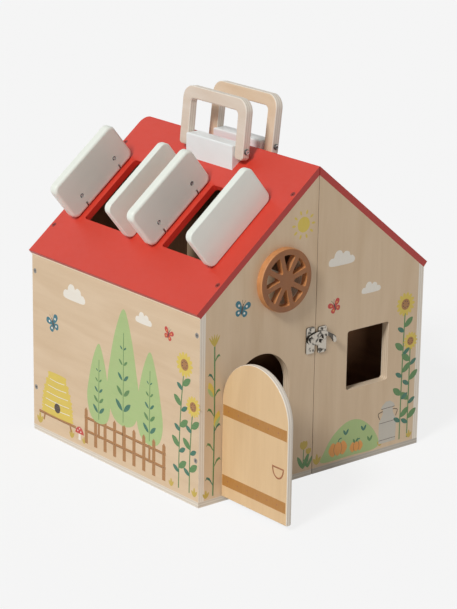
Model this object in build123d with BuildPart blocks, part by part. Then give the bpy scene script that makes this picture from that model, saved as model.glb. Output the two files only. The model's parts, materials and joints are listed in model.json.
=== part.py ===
from build123d import *
from math import cos, radians, sin, tan
import os

# Wooden toy farm, carried like a case: two half barns hinged together at the back.
# Millimetres. X runs to the right across the gables, Y from front to back, Z up.
# The origin is on the floor, at mid depth, on the split face of the left half.

LEFT, RIGHT = -1, 1

# Case
WIDTH = 300.0
DEPTH = 283.0
WALL_HEIGHT = 196.2
ROOF_PITCH = 39.0
WALL_PLY = 7.0
GABLE_PLY = 9.5
ROOF_PLY = 7.0
BASE_PLY = 6.0
SPLIT_GAP = 1.0
RIDGE_CORNER_R = 8.0

# Loft inside the left half
LOFT_HEIGHT = 165.0
LOFT_PLY = 6.0
GROOVE_DEPTH = 2.0
GUARD_HEIGHT = 33.0
GUARD_LENGTH = 190.0

# Doorway, window and round hole in the front gables, measured out from the split face
DOORWAY_OUT = 70.0
DOORWAY_R = 37.0
DOORWAY_SPRING = 102.0
WINDOW_OUT = 72.8
WINDOW_SILL = 82.0
WINDOW_WIDTH = 58.0
WINDOW_HEIGHT = 64.0
OPENING_CORNER_R = 3.0
WHEEL_OUT = 45.7
WHEEL_Z = 218.5
ROUND_HOLE_R = 26.0

# Wheel rosette on the left gable
WHEEL_R = 32.8
WHEEL_PLY = 7.4
HUB_R = 9.5
RIM_WIDTH = 6.4
SPOKE_WIDTH = 5.2
SPOKES = 8
SPOKE_TURN = 15.5
WEDGE_CORNER_R = 1.5
WHEEL_EDGE_R = 1.5

# Hatches in the left roof and the shutters that close them, down the slope from the ridge
HATCH_DOWN = 98.5
HATCH_LENGTH = 85.0
HATCH_WIDTH = 70.0
FRONT_HATCH_Y = -64.0
BACK_HATCH_Y = 67.5
SHUTTER_LENGTH = 97.0
SHUTTER_HEIGHT = 48.0
SHUTTER_PLY = 10.0
SHUTTER_CORNER_R = 8.0
MEETING_GAP = 1.0
SHUTTER_HINGE_SPREAD = 54.0

# Door over the doorway
DOOR_PLY = 8.0
DOOR_HINGE_LAP = 12.5
DOOR_FREE_LAP = 12.5
DOOR_ARCH_DROP = 1.5
DOOR_FOOT_GAP = 0.5
DOOR_LOWER_HINGE = 25.0
DOOR_UPPER_HINGE = 98.5

# Eye hinge, the same for the shutters and the door
PIVOT_LIFT = 3.7
CLOSED_GAP = 0.2
EDGE_GAP = 0.4
PANEL_EASE_R = 1.2
PIN_R = 0.9
RUNNING_GAP = 0.05
EYE_R = 2.0
EYE_STEEL = 0.9
EYE_GAP = 0.1
KERF_SIDE_GAP = 0.15
KERF_FLOOR_GAP = 0.4
KERF_HEIGHT = 6.8
LUG_DEPTH = 5.0
BOLT_R = 0.9
BARREL_NUT_LIFT = 16.0
BARREL_NUT_R = 2.4
BARREL_NUT_LENGTH = 5.5

# Carrying handles and their blocks on the ridge
BLOCK_LENGTH = 75.0
BLOCK_NEAR = 9.5
BLOCK_FAR = 25.8
BLOCK_RISE = 4.7
BLOCK_EDGE_R = 1.5
HANDLE_OUT = 19.0
HANDLE_PIVOT_DROP = 0.3
HANDLE_PLY = 9.6
HANDLE_BAR = 13.0
HANDLE_REACH = 53.0
HANDLE_FOOT = 9.3
HANDLE_SIDE_GAP = 0.75
HANDLE_OUTER_R = 14.0
HANDLE_INNER_R = 5.0
HANDLE_FOOT_R = 4.0
HANDLE_EASE_R = 1.5
LEFT_HANDLE_ANGLE = 5.4
RIGHT_HANDLE_ANGLE = 6.5
PIVOT_SCREW_R = 2.0
PIVOT_SCREW_GRIP = 12.0
PIVOT_HEAD_R = 3.8
PIVOT_HEAD_HEIGHT = 2.2
PIVOT_HEAD_GAP = 0.2

# Swing hook latch on the front gables
LATCH_Z = 147.9
LATCH_PIVOT_OUT = 7.0
PLATE_WIDTH = 11.0
PLATE_HEIGHT = 28.0
PLATE_STEEL = 1.2
PLATE_CORNER_R = 2.0
PLATE_SCREW_SPREAD = 21.5
KEEPER_PLATE_OUT = 8.0
KEEPER_PLATE_DROP = 2.6
PIVOT_PLATE_DROP = 1.0
STUD_X = 14.1
STUD_DROP = 4.0
STUD_R = 1.9
STUD_DOME_R = 1.1
STUD_LENGTH = 3.6
RIVET_R = 1.6
RIVET_GRIP = 3.5
RIVET_HEAD_R = 2.8
RIVET_HEAD_HEIGHT = 1.3
RIVET_DOME_R = 0.9
HOOK_STEEL = 1.4
HOOK_GAP = 0.3
HOOK_BOSS_R = 4.8
HOOK_TIP_GAP = 0.35
HOOK_TIP_WIDTH = 2.4
HOOK_REACH = 45.0
THUMB_STEP = 3.6
THUMB_BEND = 6.4
THUMB_START = 10.2
THUMB_MITRE = 0.6

# Outline of the hook, in X and Z from its pivot
MOUTH_NEAR_ROOM = 2.3
MOUTH_FAR_ROOM = 0.4
MOUTH_TOP = 3.0
HEEL_CORNER = 1.0
HEEL_LOW = -7.6
HEEL_HIGH = -6.6
THROAT_TOP = (21.0, 0.2)
THROAT_END = (24.2, -0.8)
TOE_START = (26.2, -4.4)
TOE_LOW = (28.8, -6.6)
TOE_END = (30.6, -3.2)
NOSE = (29.8, -0.6)
HOOK_CREST = (16.2, 6.6)

# Butt hinges across the split at the back
BUTT_HEIGHT = 40.0
BUTT_LOWER_Z = 70.0
BUTT_UPPER_Z = 232.0
BUTT_LEAF_WIDTH = 16.0
BUTT_STEEL = 1.0
BUTT_KNUCKLE_R = 2.2
BUTT_KNUCKLES = 3
BUTT_PIN_R = 1.0
BUTT_CLEARANCE = 0.2
BUTT_SCREW_OUT = 9.6
BUTT_SCREW_SPREAD = 26.0

# Countersunk screws: wood screws hold the boards, small screws hold the metal
SCREW_R = 1.2
SCREW_HEAD_R = 2.8
SCREW_LENGTH = 24.0
SCREW_RECESS = 0.3
BLOCK_SCREW_LENGTH = 15.0
BLOCK_SCREW_SPREAD = 44.0
SMALL_SCREW_R = 1.0
SMALL_HEAD_R = 1.9
SMALL_SCREW_LENGTH = 6.5
WALL_SCREW_LOW = 49.0
WALL_SCREW_DROP = 17.2
ROOF_SCREW_HIGH = 38.6
ROOF_SCREW_LOW = 160.0
BASE_SCREW_NEAR = 16.0
BASE_SCREW_FAR = 125.0
BASE_SCREW_SPREAD = 140.0

# Places that follow from the sizes above
FRONT = -DEPTH / 2
BACK = DEPTH / 2
HALF_WIDTH = (WIDTH - SPLIT_GAP) / 2
SLOPE = tan(radians(ROOF_PITCH))
DOWN_X = cos(radians(ROOF_PITCH))
DOWN_Z = sin(radians(ROOF_PITCH))
RIDGE_Z = WALL_HEIGHT + HALF_WIDTH * SLOPE + ROOF_PLY / DOWN_X
GABLE_Y = {"front": FRONT + GABLE_PLY, "back": BACK}
SIDES = {"left": LEFT, "right": RIGHT}
HINGE_INSET = PIVOT_LIFT - CLOSED_GAP
HINGE_EDGE_R = PIVOT_LIFT - EDGE_GAP
SHUTTER_REACH = SHUTTER_HEIGHT + EDGE_GAP - PIVOT_LIFT
PIVOT_APART = SHUTTER_REACH + MEETING_GAP / 2
HANDLE_Z = RIDGE_Z - HANDLE_PIVOT_DROP
LATCH_PIVOT_X = -LATCH_PIVOT_OUT
BUTT_AXIS_Y = BACK + BUTT_KNUCKLE_R + BUTT_CLEARANCE
BUTT_AXIS_X = SPLIT_GAP / 2


def across(side, out):
    """X at a distance out from the split face of one half."""
    start = SPLIT_GAP if side == RIGHT else 0.0
    return start + side * out


def under_roof(out):
    """Height of the roof's underside at a distance out from the split face."""
    return WALL_HEIGHT + (HALF_WIDTH - out) * SLOPE


def over_roof(out):
    """Height of the roof's top face at a distance out from the split face."""
    return RIDGE_Z - out * SLOPE


def upright(y):
    """Plane across the case at one depth, drawn in X and Z, facing the front."""
    return Plane.XZ.offset(-y)


def roof_plane(side):
    """Top face of a roof board: local X climbs the slope and local Z leaves it."""
    top = (across(side, 0), 0, RIDGE_Z)
    if side == LEFT:
        return Plane(top, x_dir=(DOWN_X, 0, DOWN_Z), z_dir=(-DOWN_Z, 0, DOWN_X))
    return Plane(top, x_dir=(-DOWN_X, 0, DOWN_Z), z_dir=(DOWN_Z, 0, DOWN_X))


def save(builder, name):
    """Label one finished piece and write it as its own STEP file."""
    builder.part.label = name
    export_step(builder.part, f"parts/{name}.step")


# Screw places: each one is on the surface, with local Z pointing out of it


def wall_screw_places(side):
    """Through the side wall into the ends of the gables."""
    x = across(side, HALF_WIDTH)
    depths = (FRONT + GABLE_PLY / 2, BACK - GABLE_PLY / 2)
    heights = (WALL_SCREW_LOW, WALL_HEIGHT - WALL_SCREW_DROP)
    return [Plane((x, y, z), z_dir=(side, 0, 0)).location for y in depths for z in heights]


def roof_screw_places(side):
    """Through the roof board into the top edges of the gables."""
    plane = roof_plane(side)
    depths = (FRONT + GABLE_PLY / 2, BACK - GABLE_PLY / 2)
    up_slope = 1 if side == LEFT else -1
    downs = (ROOF_SCREW_HIGH, ROOF_SCREW_LOW)
    return [plane.location * Location((-down, up_slope * y, 0)) for y in depths for down in downs]


def base_screw_places(side):
    """Through the base board, from below, into the gables and the side wall."""
    depths = (FRONT + GABLE_PLY / 2, BACK - GABLE_PLY / 2)
    outs = (BASE_SCREW_NEAR, BASE_SCREW_FAR)
    spots = [(across(side, out), y) for y in depths for out in outs]
    wall_x = across(side, HALF_WIDTH - WALL_PLY / 2)
    spots += [(wall_x, y) for y in (-BASE_SCREW_SPREAD / 2, BASE_SCREW_SPREAD / 2)]
    return [Plane((x, y, SCREW_RECESS), z_dir=(0, 0, -1)).location for x, y in spots]


def case_screw_places(side):
    return wall_screw_places(side) + roof_screw_places(side) + base_screw_places(side)


def block_screw_places(side):
    """From under the roof board up into the handle block."""
    plane = roof_plane(side)
    down = (BLOCK_NEAR + BLOCK_FAR) / 2 / DOWN_X
    turn = Location((0, 0, 0), (180, 0, 0))
    depths = (-BLOCK_SCREW_SPREAD / 2, BLOCK_SCREW_SPREAD / 2)
    return [plane.location * Location((-down, y, -ROOF_PLY)) * turn for y in depths]


def plate_screw_places(side):
    """Through a latch plate into the gable behind it."""
    x, z = latch_plate_centre(side)
    spread = PLATE_SCREW_SPREAD / 2
    y = FRONT - PLATE_STEEL
    return [Plane((x, y, z + dz), z_dir=(0, -1, 0)).location for dz in (-spread, spread)]


def butt_screw_places(side):
    """Through a butt hinge leaf into the back gable."""
    x = BUTT_AXIS_X + side * BUTT_SCREW_OUT
    y = BACK + BUTT_STEEL
    centres = (BUTT_LOWER_Z, BUTT_UPPER_Z)
    spread = BUTT_SCREW_SPREAD / 2
    heights = [z + dz for z in centres for dz in (-spread, spread)]
    return [Plane((x, y, z), z_dir=(0, 1, 0)).location for z in heights]


def latch_plate_centre(side):
    if side == LEFT:
        return LATCH_PIVOT_X, LATCH_Z - PIVOT_PLATE_DROP
    return across(RIGHT, KEEPER_PLATE_OUT), LATCH_Z - KEEPER_PLATE_DROP


def countersunk_screws(places, radius, head_r, length):
    """A set of identical countersunk screws, each its own solid."""
    with BuildPart() as screws:
        with Locations(*places):
            low = (Align.CENTER, Align.CENTER, Align.MAX)
            Cone(radius, head_r, head_r - radius, align=low)
            Cylinder(radius, length, align=low)
    return screws


def sink(places, radius, head_r, length):
    """Countersunk holes for such screws, cut in the board being built."""
    with Locations(*places):
        CounterSinkHole(radius, head_r, depth=length, counter_sink_angle=90)


def drill(places, radius, length):
    """Plain holes for the part of such screws that grips the next board."""
    with Locations(*places):
        Hole(radius, depth=length)


# Case boards


def base(side):
    with BuildPart() as board:
        with BuildSketch(Plane.XY):
            with Locations((across(side, HALF_WIDTH / 2), 0)):
                Rectangle(HALF_WIDTH, DEPTH)
        extrude(amount=BASE_PLY)
        sink(base_screw_places(side), SCREW_R, SCREW_HEAD_R, SCREW_LENGTH)
    return board


def side_wall(side):
    """Outer wall, its top edge cut to the slope of the roof."""
    inner = HALF_WIDTH - WALL_PLY
    with BuildPart() as board:
        with BuildSketch(upright(BACK)):
            with BuildLine():
                Polyline(
                    (across(side, HALF_WIDTH), BASE_PLY),
                    (across(side, HALF_WIDTH), WALL_HEIGHT),
                    (across(side, inner), under_roof(inner)),
                    (across(side, inner), BASE_PLY),
                    close=True,
                )
            make_face()
        extrude(amount=DEPTH)
        sink(wall_screw_places(side), SCREW_R, SCREW_HEAD_R, SCREW_LENGTH)
        drill(base_screw_places(side), SCREW_R, SCREW_LENGTH)
        if side == LEFT:
            loft_grooves()
    return board


def gable_blank(side, end):
    """Gable board between the side wall and the split face, up to the roof."""
    inner = HALF_WIDTH - WALL_PLY
    with BuildSketch(upright(GABLE_Y[end])) as outline:
        with BuildLine():
            Polyline(
                (across(side, 0), BASE_PLY),
                (across(side, 0), under_roof(0)),
                (across(side, inner), under_roof(inner)),
                (across(side, inner), BASE_PLY),
                close=True,
            )
        make_face()
    extrude(outline.sketch, amount=GABLE_PLY)
    drill(case_screw_places(side), SCREW_R, SCREW_LENGTH)


def left_front_gable():
    """Arched doorway below, round hole behind the wheel above."""
    with BuildPart() as board:
        gable_blank(LEFT, "front")
        with BuildSketch(upright(FRONT + GABLE_PLY)):
            with Locations((across(LEFT, DOORWAY_OUT), BASE_PLY)):
                Rectangle(2 * DOORWAY_R, DOORWAY_SPRING, align=(Align.CENTER, Align.MIN))
            with Locations((across(LEFT, DOORWAY_OUT), BASE_PLY + DOORWAY_SPRING)):
                Circle(DOORWAY_R)
            with Locations((across(LEFT, WHEEL_OUT), WHEEL_Z)):
                Circle(ROUND_HOLE_R)
        extrude(amount=GABLE_PLY, mode=Mode.SUBTRACT)
        loft_grooves()
        lug_slots(door_hinge(), DOOR_HINGE_STATIONS)
        drill(plate_screw_places(LEFT), SMALL_SCREW_R, SMALL_SCREW_LENGTH)
        drill([latch_pivot_place()], RIVET_R, PLATE_STEEL + HOOK_GAP + HOOK_STEEL + RIVET_GRIP)
    return board


def right_front_gable():
    """Square window."""
    with BuildPart() as board:
        gable_blank(RIGHT, "front")
        with BuildSketch(upright(FRONT + GABLE_PLY)):
            with Locations((across(RIGHT, WINDOW_OUT), WINDOW_SILL + WINDOW_HEIGHT / 2)):
                RectangleRounded(WINDOW_WIDTH, WINDOW_HEIGHT, OPENING_CORNER_R)
        extrude(amount=GABLE_PLY, mode=Mode.SUBTRACT)
        drill(plate_screw_places(RIGHT), SMALL_SCREW_R, SMALL_SCREW_LENGTH)
    return board


def back_gable(side):
    with BuildPart() as board:
        gable_blank(side, "back")
        if side == LEFT:
            loft_grooves()
        drill(butt_screw_places(side), SMALL_SCREW_R, SMALL_SCREW_LENGTH)
    return board


def roof_blank(side):
    """Roof board: mitred upright at the ridge, square to the slope at the eave."""
    with BuildSketch(upright(BACK)) as profile:
        with BuildLine():
            Polyline(
                (across(side, 0), under_roof(0)),
                (across(side, 0), RIDGE_Z),
                (across(side, HALF_WIDTH + ROOF_PLY * DOWN_Z), WALL_HEIGHT + ROOF_PLY * DOWN_X),
                (across(side, HALF_WIDTH), WALL_HEIGHT),
                close=True,
            )
        make_face()
    board = extrude(profile.sketch, amount=DEPTH)
    ridge_back = board.edges().filter_by(Axis.Z).sort_by(Axis.Y)[-1]
    fillet(ridge_back, RIDGE_CORNER_R)
    sink(roof_screw_places(side), SCREW_R, SCREW_HEAD_R, SCREW_LENGTH)
    sink(block_screw_places(side), SCREW_R, SCREW_HEAD_R, BLOCK_SCREW_LENGTH)


def left_roof():
    with BuildPart() as board:
        roof_blank(LEFT)
        with BuildSketch(roof_plane(LEFT)):
            with Locations((-HATCH_DOWN, FRONT_HATCH_Y), (-HATCH_DOWN, BACK_HATCH_Y)):
                RectangleRounded(HATCH_LENGTH, HATCH_WIDTH, OPENING_CORNER_R)
        extrude(amount=-2 * ROOF_PLY, mode=Mode.SUBTRACT)
        for hinge in SHUTTER_HINGES:
            lug_slots(hinge, SHUTTER_HINGE_STATIONS)
    return board


def right_roof():
    with BuildPart() as board:
        roof_blank(RIGHT)
    return board


def loft_outline():
    """Loft floor from the split face into grooves in the wall and both gables."""
    out = HALF_WIDTH - WALL_PLY + GROOVE_DEPTH
    depth = DEPTH - 2 * GABLE_PLY + 2 * GROOVE_DEPTH
    with BuildSketch(Plane.XY.offset(LOFT_HEIGHT)) as outline:
        with Locations((across(LEFT, out / 2), 0)):
            Rectangle(out, depth)
    return outline


def loft_grooves():
    extrude(loft_outline().sketch, amount=LOFT_PLY, mode=Mode.SUBTRACT)


def loft_floor():
    with BuildPart() as board:
        extrude(loft_outline().sketch, amount=LOFT_PLY)
    return board


def loft_guard():
    """Low board along the open edge of the loft."""
    with BuildPart() as board:
        with BuildSketch(Plane.XY.offset(LOFT_HEIGHT + LOFT_PLY)):
            with Locations((across(LEFT, 0), FRONT + GABLE_PLY)):
                Rectangle(WALL_PLY, GUARD_LENGTH, align=(Align.MAX, Align.MIN))
        extrude(amount=GUARD_HEIGHT)
    return board


def wheel_rosette():
    """Cart wheel shape with wedge openings, glued over the round hole."""
    wedge_r = WHEEL_R - RIM_WIDTH
    with BuildPart() as wheel:
        with BuildSketch(upright(FRONT)):
            with Locations((across(LEFT, WHEEL_OUT), WHEEL_Z)):
                Circle(WHEEL_R)
        extrude(amount=WHEEL_PLY)
        front_rim = wheel.faces().sort_by(Axis.Y)[0].edges()
        fillet(front_rim, WHEEL_EDGE_R)
        with BuildSketch(upright(FRONT)):
            with BuildSketch(mode=Mode.PRIVATE) as wedges:
                Circle(wedge_r)
                Circle(HUB_R, mode=Mode.SUBTRACT)
                with PolarLocations(0, SPOKES, start_angle=SPOKE_TURN):
                    spoke = (Align.MIN, Align.CENTER)
                    Rectangle(WHEEL_R, SPOKE_WIDTH, align=spoke, mode=Mode.SUBTRACT)
                fillet(wedges.vertices(), WEDGE_CORNER_R)
            with Locations((across(LEFT, WHEEL_OUT), WHEEL_Z)):
                add(wedges.sketch)
        extrude(amount=WHEEL_PLY, mode=Mode.SUBTRACT)
    return wheel


# Eye hinges. A hinge plane has its origin on the pivot axis and its local Z along it. Local X
# leaves the board that carries the hinge, and local Y points to the inner face of the open panel,
# so that a positive turn closes every panel.


def shutter_hinge(centre_y, facing):
    """Hinge plane of one shutter, beside the hatch edge that it is hung on."""
    roof = roof_plane(LEFT)
    pivot = roof.from_local_coords(Vector(-HATCH_DOWN, centre_y - facing * PIVOT_APART, PIVOT_LIFT))
    return Plane(pivot, x_dir=roof.z_dir, z_dir=-facing * roof.x_dir)


def door_hinge():
    """Hinge plane of the door, upright in front of the gable."""
    pivot_out = DOORWAY_OUT + DOORWAY_R + DOOR_HINGE_LAP - HINGE_EDGE_R
    middle = (DOOR_LOWER_HINGE + DOOR_UPPER_HINGE) / 2
    pivot = (across(LEFT, pivot_out), FRONT - PIVOT_LIFT, middle)
    return Plane(pivot, x_dir=(0, -1, 0), z_dir=(0, 0, 1))


SHUTTER_HINGES = [
    shutter_hinge(BACK_HATCH_Y, -1),
    shutter_hinge(BACK_HATCH_Y, 1),
    shutter_hinge(FRONT_HATCH_Y, -1),
    shutter_hinge(FRONT_HATCH_Y, 1),
]
SHUTTER_HINGE_STATIONS = (-SHUTTER_HINGE_SPREAD / 2, SHUTTER_HINGE_SPREAD / 2)
DOOR_HINGE_SPREAD = DOOR_UPPER_HINGE - DOOR_LOWER_HINGE
DOOR_HINGE_STATIONS = (-DOOR_HINGE_SPREAD / 2, DOOR_HINGE_SPREAD / 2)


def lug_start(station):
    """Low side of the fixed eye, which lies below the moving eye along the axis."""
    return station - EYE_GAP / 2 - EYE_STEEL


def bolt_start(station):
    return station + EYE_GAP / 2


def lug_outline(hinge, station):
    """Fixed eye with its tail in the board."""
    with BuildSketch(hinge.offset(lug_start(station))) as outline:
        Circle(EYE_R)
        tail = (Align.MAX, Align.CENTER)
        Rectangle(PIVOT_LIFT + LUG_DEPTH, 2 * EYE_R, align=tail)
        Circle(PIN_R + RUNNING_GAP, mode=Mode.SUBTRACT)
    return outline


def lug_slots(hinge, stations):
    """Slots in the board for the tails of the fixed eyes."""
    for station in stations:
        with BuildSketch(hinge.offset(lug_start(station))) as slot:
            with Locations((-PIVOT_LIFT, 0)):
                tail = (Align.MAX, Align.CENTER)
                Rectangle(LUG_DEPTH, 2 * EYE_R, align=tail)
        extrude(slot.sketch, amount=EYE_STEEL, mode=Mode.SUBTRACT)


def hinge_lugs(hinges, stations):
    """Flat steel eyes let into a board, one beside each moving eye."""
    with BuildPart() as lugs:
        for hinge in hinges:
            for station in stations:
                extrude(lug_outline(hinge, station).sketch, amount=EYE_STEEL)
    return lugs


def eye_bolts(hinge, stations):
    """Flattened eyes whose shanks run up inside the panel to the barrel nuts."""
    with BuildPart() as bolts:
        for station in stations:
            with BuildSketch(hinge.offset(bolt_start(station))):
                Circle(EYE_R)
                neck = (Align.MIN, Align.CENTER)
                Rectangle(KERF_HEIGHT + EDGE_GAP - PIVOT_LIFT, 2 * BOLT_R, align=neck)
                Circle(PIN_R, mode=Mode.SUBTRACT)
            extrude(amount=EYE_STEEL)
            with BuildSketch(shank_plane(hinge, station)):
                Circle(BOLT_R)
            extrude(amount=BARREL_NUT_LIFT - KERF_HEIGHT)
    return bolts


def shank_plane(hinge, station):
    """Plane square to an eye bolt's shank, where the shank leaves the kerf."""
    up = KERF_HEIGHT + EDGE_GAP - PIVOT_LIFT
    middle = bolt_start(station) + EYE_STEEL / 2
    origin = hinge.from_local_coords(Vector(up, 0, middle))
    return Plane(origin, x_dir=hinge.z_dir, z_dir=hinge.x_dir)


def hinge_pins(hinge, stations):
    """Rivets through both eyes, fast in the moving one."""
    with BuildPart() as pins:
        for station in stations:
            with BuildSketch(hinge.offset(lug_start(station))):
                Circle(PIN_R)
            extrude(amount=2 * EYE_STEEL + EYE_GAP)
    return pins


def nut_plane(hinge, station):
    """Inner face of the panel at a barrel nut, facing into the panel."""
    up = BARREL_NUT_LIFT + EDGE_GAP - PIVOT_LIFT
    middle = bolt_start(station) + EYE_STEEL / 2
    origin = hinge.from_local_coords(Vector(up, HINGE_INSET, middle))
    return Plane(origin, x_dir=hinge.x_dir, z_dir=-hinge.y_dir)


def barrel_nuts(hinge, stations):
    """Cross nuts that the eye bolts screw into, flush with the inner face."""
    with BuildPart() as nuts:
        for station in stations:
            with BuildSketch(nut_plane(hinge, station)):
                Circle(BARREL_NUT_R)
            extrude(amount=BARREL_NUT_LENGTH)
        for station in stations:
            with BuildSketch(shank_plane(hinge, station)):
                Circle(BOLT_R)
            extrude(amount=BARREL_NUT_LIFT - KERF_HEIGHT, mode=Mode.SUBTRACT)
    return nuts


def panel_plane(hinge):
    """Inner face of an open panel: local X leaves the board, local Y follows the axis."""
    origin = hinge.from_local_coords(Vector(0, HINGE_INSET, 0))
    return Plane(origin, x_dir=hinge.x_dir, z_dir=-hinge.y_dir)


def hang(panel, hinge, stations, outer_edge_r):
    """Round the panel's edges and cut it for its hinges."""
    faces = panel.faces().sort_by(Axis(hinge.origin, hinge.y_dir))
    fillet(faces[-1].edges(), HINGE_EDGE_R)
    faces = panel.faces().sort_by(Axis(hinge.origin, hinge.y_dir))
    fillet(faces[0].edges(), outer_edge_r)
    kerf = 2 * (EYE_STEEL + KERF_SIDE_GAP) + EYE_GAP
    for station in stations:
        with BuildSketch(hinge.offset(station - kerf / 2)) as notch:
            with Locations((-HINGE_EDGE_R, HINGE_INSET)):
                corner = (Align.MIN, Align.MAX)
                Rectangle(KERF_HEIGHT, HINGE_INSET + EYE_R + KERF_FLOOR_GAP, align=corner)
        extrude(notch.sketch, amount=kerf, mode=Mode.SUBTRACT)
        with BuildSketch(nut_plane(hinge, station)) as nut:
            Circle(BARREL_NUT_R)
        extrude(nut.sketch, amount=BARREL_NUT_LENGTH, mode=Mode.SUBTRACT)
        with BuildSketch(shank_plane(hinge, station)) as shank:
            Circle(BOLT_R)
        extrude(shank.sketch, amount=BARREL_NUT_LIFT - KERF_HEIGHT, mode=Mode.SUBTRACT)


def shutter_panel(hinge):
    with BuildPart() as panel:
        with BuildSketch(panel_plane(hinge)):
            with Locations((SHUTTER_HEIGHT / 2 - HINGE_EDGE_R, 0)):
                RectangleRounded(SHUTTER_HEIGHT, SHUTTER_LENGTH, SHUTTER_CORNER_R)
        extrude(amount=SHUTTER_PLY)
        hang(panel, hinge, SHUTTER_HINGE_STATIONS, PANEL_EASE_R)
    return panel


def door_panel():
    """Arched door, larger than the doorway all round so that it closes over it."""
    hinge = door_hinge()
    arch_r = DOORWAY_R + (DOOR_HINGE_LAP + DOOR_FREE_LAP) / 2
    foot = BASE_PLY + DOOR_FOOT_GAP - hinge.origin.Z
    spring = BASE_PLY + DOORWAY_SPRING - DOOR_ARCH_DROP - hinge.origin.Z
    with BuildPart() as panel:
        with BuildSketch(panel_plane(hinge)):
            with Locations((arch_r - HINGE_EDGE_R, foot)):
                up = (Align.CENTER, Align.MIN)
                Rectangle(2 * arch_r, spring - foot, align=up)
            with Locations((arch_r - HINGE_EDGE_R, spring)):
                Circle(arch_r)
        extrude(amount=DOOR_PLY)
        hang(panel, hinge, DOOR_HINGE_STATIONS, PANEL_EASE_R)
    return panel


# Carrying handles


def handle_plane(side, lean):
    """Plane through a handle's pivot, leaning to the right: local Y runs up the handle."""
    pivot = (across(side, HANDLE_OUT), 0, HANDLE_Z)
    tilt = radians(lean)
    return Plane(pivot, x_dir=(0, 1, 0), z_dir=(cos(tilt), 0, -sin(tilt)))


def handle(side, lean):
    """U-shaped grip cut from one ply board."""
    plane = handle_plane(side, lean)
    inner = BLOCK_LENGTH + 2 * HANDLE_SIDE_GAP
    outer = inner + 2 * HANDLE_BAR
    height = HANDLE_REACH + HANDLE_FOOT
    with BuildPart() as grip:
        with BuildSketch(plane.offset(-HANDLE_PLY / 2)) as outline:
            with Locations((0, HANDLE_REACH)):
                down = (Align.CENTER, Align.MAX)
                Rectangle(outer, height, align=down)
                fillet(outline.vertices().group_by(Axis.Y)[-1], HANDLE_OUTER_R)
            with Locations((0, HANDLE_REACH - HANDLE_BAR)):
                with BuildSketch(mode=Mode.PRIVATE) as gap:
                    Rectangle(inner, height, align=(Align.CENTER, Align.MAX))
                    fillet(gap.vertices().group_by(Axis.Y)[-1], HANDLE_INNER_R)
                add(gap.sketch, mode=Mode.SUBTRACT)
            fillet(outline.vertices().group_by(Axis.Y)[0], HANDLE_FOOT_R)
        extrude(amount=HANDLE_PLY)
        faces = grip.faces().sort_by(Axis(plane.origin, plane.z_dir))
        fillet(faces[0].edges() + faces[-1].edges(), HANDLE_EASE_R)
        with Locations(*handle_screw_places(side)):
            Hole(PIVOT_SCREW_R + RUNNING_GAP, depth=2 * HANDLE_BAR)
    return grip


def handle_screw_places(side):
    """Under the heads of the pivot screws, just outside the handle's arms."""
    x = across(side, HANDLE_OUT)
    y = BLOCK_LENGTH / 2 + HANDLE_SIDE_GAP + HANDLE_BAR + PIVOT_HEAD_GAP
    return [Plane((x, end * y, HANDLE_Z), z_dir=(0, end, 0)).location for end in (-1, 1)]


def handle_screws(side):
    length = PIVOT_HEAD_GAP + HANDLE_BAR + HANDLE_SIDE_GAP + PIVOT_SCREW_GRIP
    with BuildPart() as screws:
        with Locations(*handle_screw_places(side)):
            Cylinder(PIVOT_SCREW_R, length, align=(Align.CENTER, Align.CENTER, Align.MAX))
            Cylinder(PIVOT_HEAD_R, PIVOT_HEAD_HEIGHT, align=(Align.CENTER, Align.CENTER, Align.MIN))
    return screws


def handle_block(side):
    """Block on the roof beside the ridge that the handle turns on."""
    top = RIDGE_Z + BLOCK_RISE
    length = PIVOT_HEAD_GAP + HANDLE_BAR + HANDLE_SIDE_GAP + PIVOT_SCREW_GRIP
    with BuildPart() as block:
        with BuildSketch(upright(BLOCK_LENGTH / 2)):
            with BuildLine():
                Polyline(
                    (across(side, BLOCK_NEAR), over_roof(BLOCK_NEAR)),
                    (across(side, BLOCK_NEAR), top),
                    (across(side, BLOCK_FAR), top),
                    (across(side, BLOCK_FAR), over_roof(BLOCK_FAR)),
                    close=True,
                )
            make_face()
        extrude(amount=BLOCK_LENGTH)
        fillet(block.faces().sort_by(Axis.Z)[-1].edges(), BLOCK_EDGE_R)
        with Locations(*handle_screw_places(side)):
            Hole(PIVOT_SCREW_R, depth=length)
        drill(block_screw_places(side), SCREW_R, BLOCK_SCREW_LENGTH)
    return block


# Swing hook latch


def latch_pivot_place():
    """Pivot of the hook, on the front of the hook."""
    y = FRONT - PLATE_STEEL - HOOK_GAP - HOOK_STEEL
    return Plane((LATCH_PIVOT_X, y, LATCH_Z), z_dir=(0, -1, 0)).location


def latch_plate(side):
    x, z = latch_plate_centre(side)
    with BuildPart() as plate:
        with BuildSketch(upright(FRONT)):
            with Locations((x, z)):
                RectangleRounded(PLATE_WIDTH, PLATE_HEIGHT, PLATE_CORNER_R)
            if side == LEFT:
                with Locations((LATCH_PIVOT_X, LATCH_Z)):
                    Circle(RIVET_R, mode=Mode.SUBTRACT)
            else:
                with Locations(stud_centre()):
                    Circle(STUD_R, mode=Mode.SUBTRACT)
        extrude(amount=PLATE_STEEL)
        sink(plate_screw_places(side), SMALL_SCREW_R, SMALL_HEAD_R, SMALL_SCREW_LENGTH)
    return plate


def stud_centre():
    return LATCH_PIVOT_X + STUD_X, LATCH_Z - STUD_DROP


def keeper_stud():
    """Domed stud on the right plate that the hook drops over."""
    with BuildPart() as stud:
        with BuildSketch(upright(FRONT)):
            with Locations(stud_centre()):
                Circle(STUD_R)
        extrude(amount=STUD_LENGTH)
        fillet(stud.faces().sort_by(Axis.Y)[0].edges(), STUD_DOME_R)
    return stud


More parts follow.
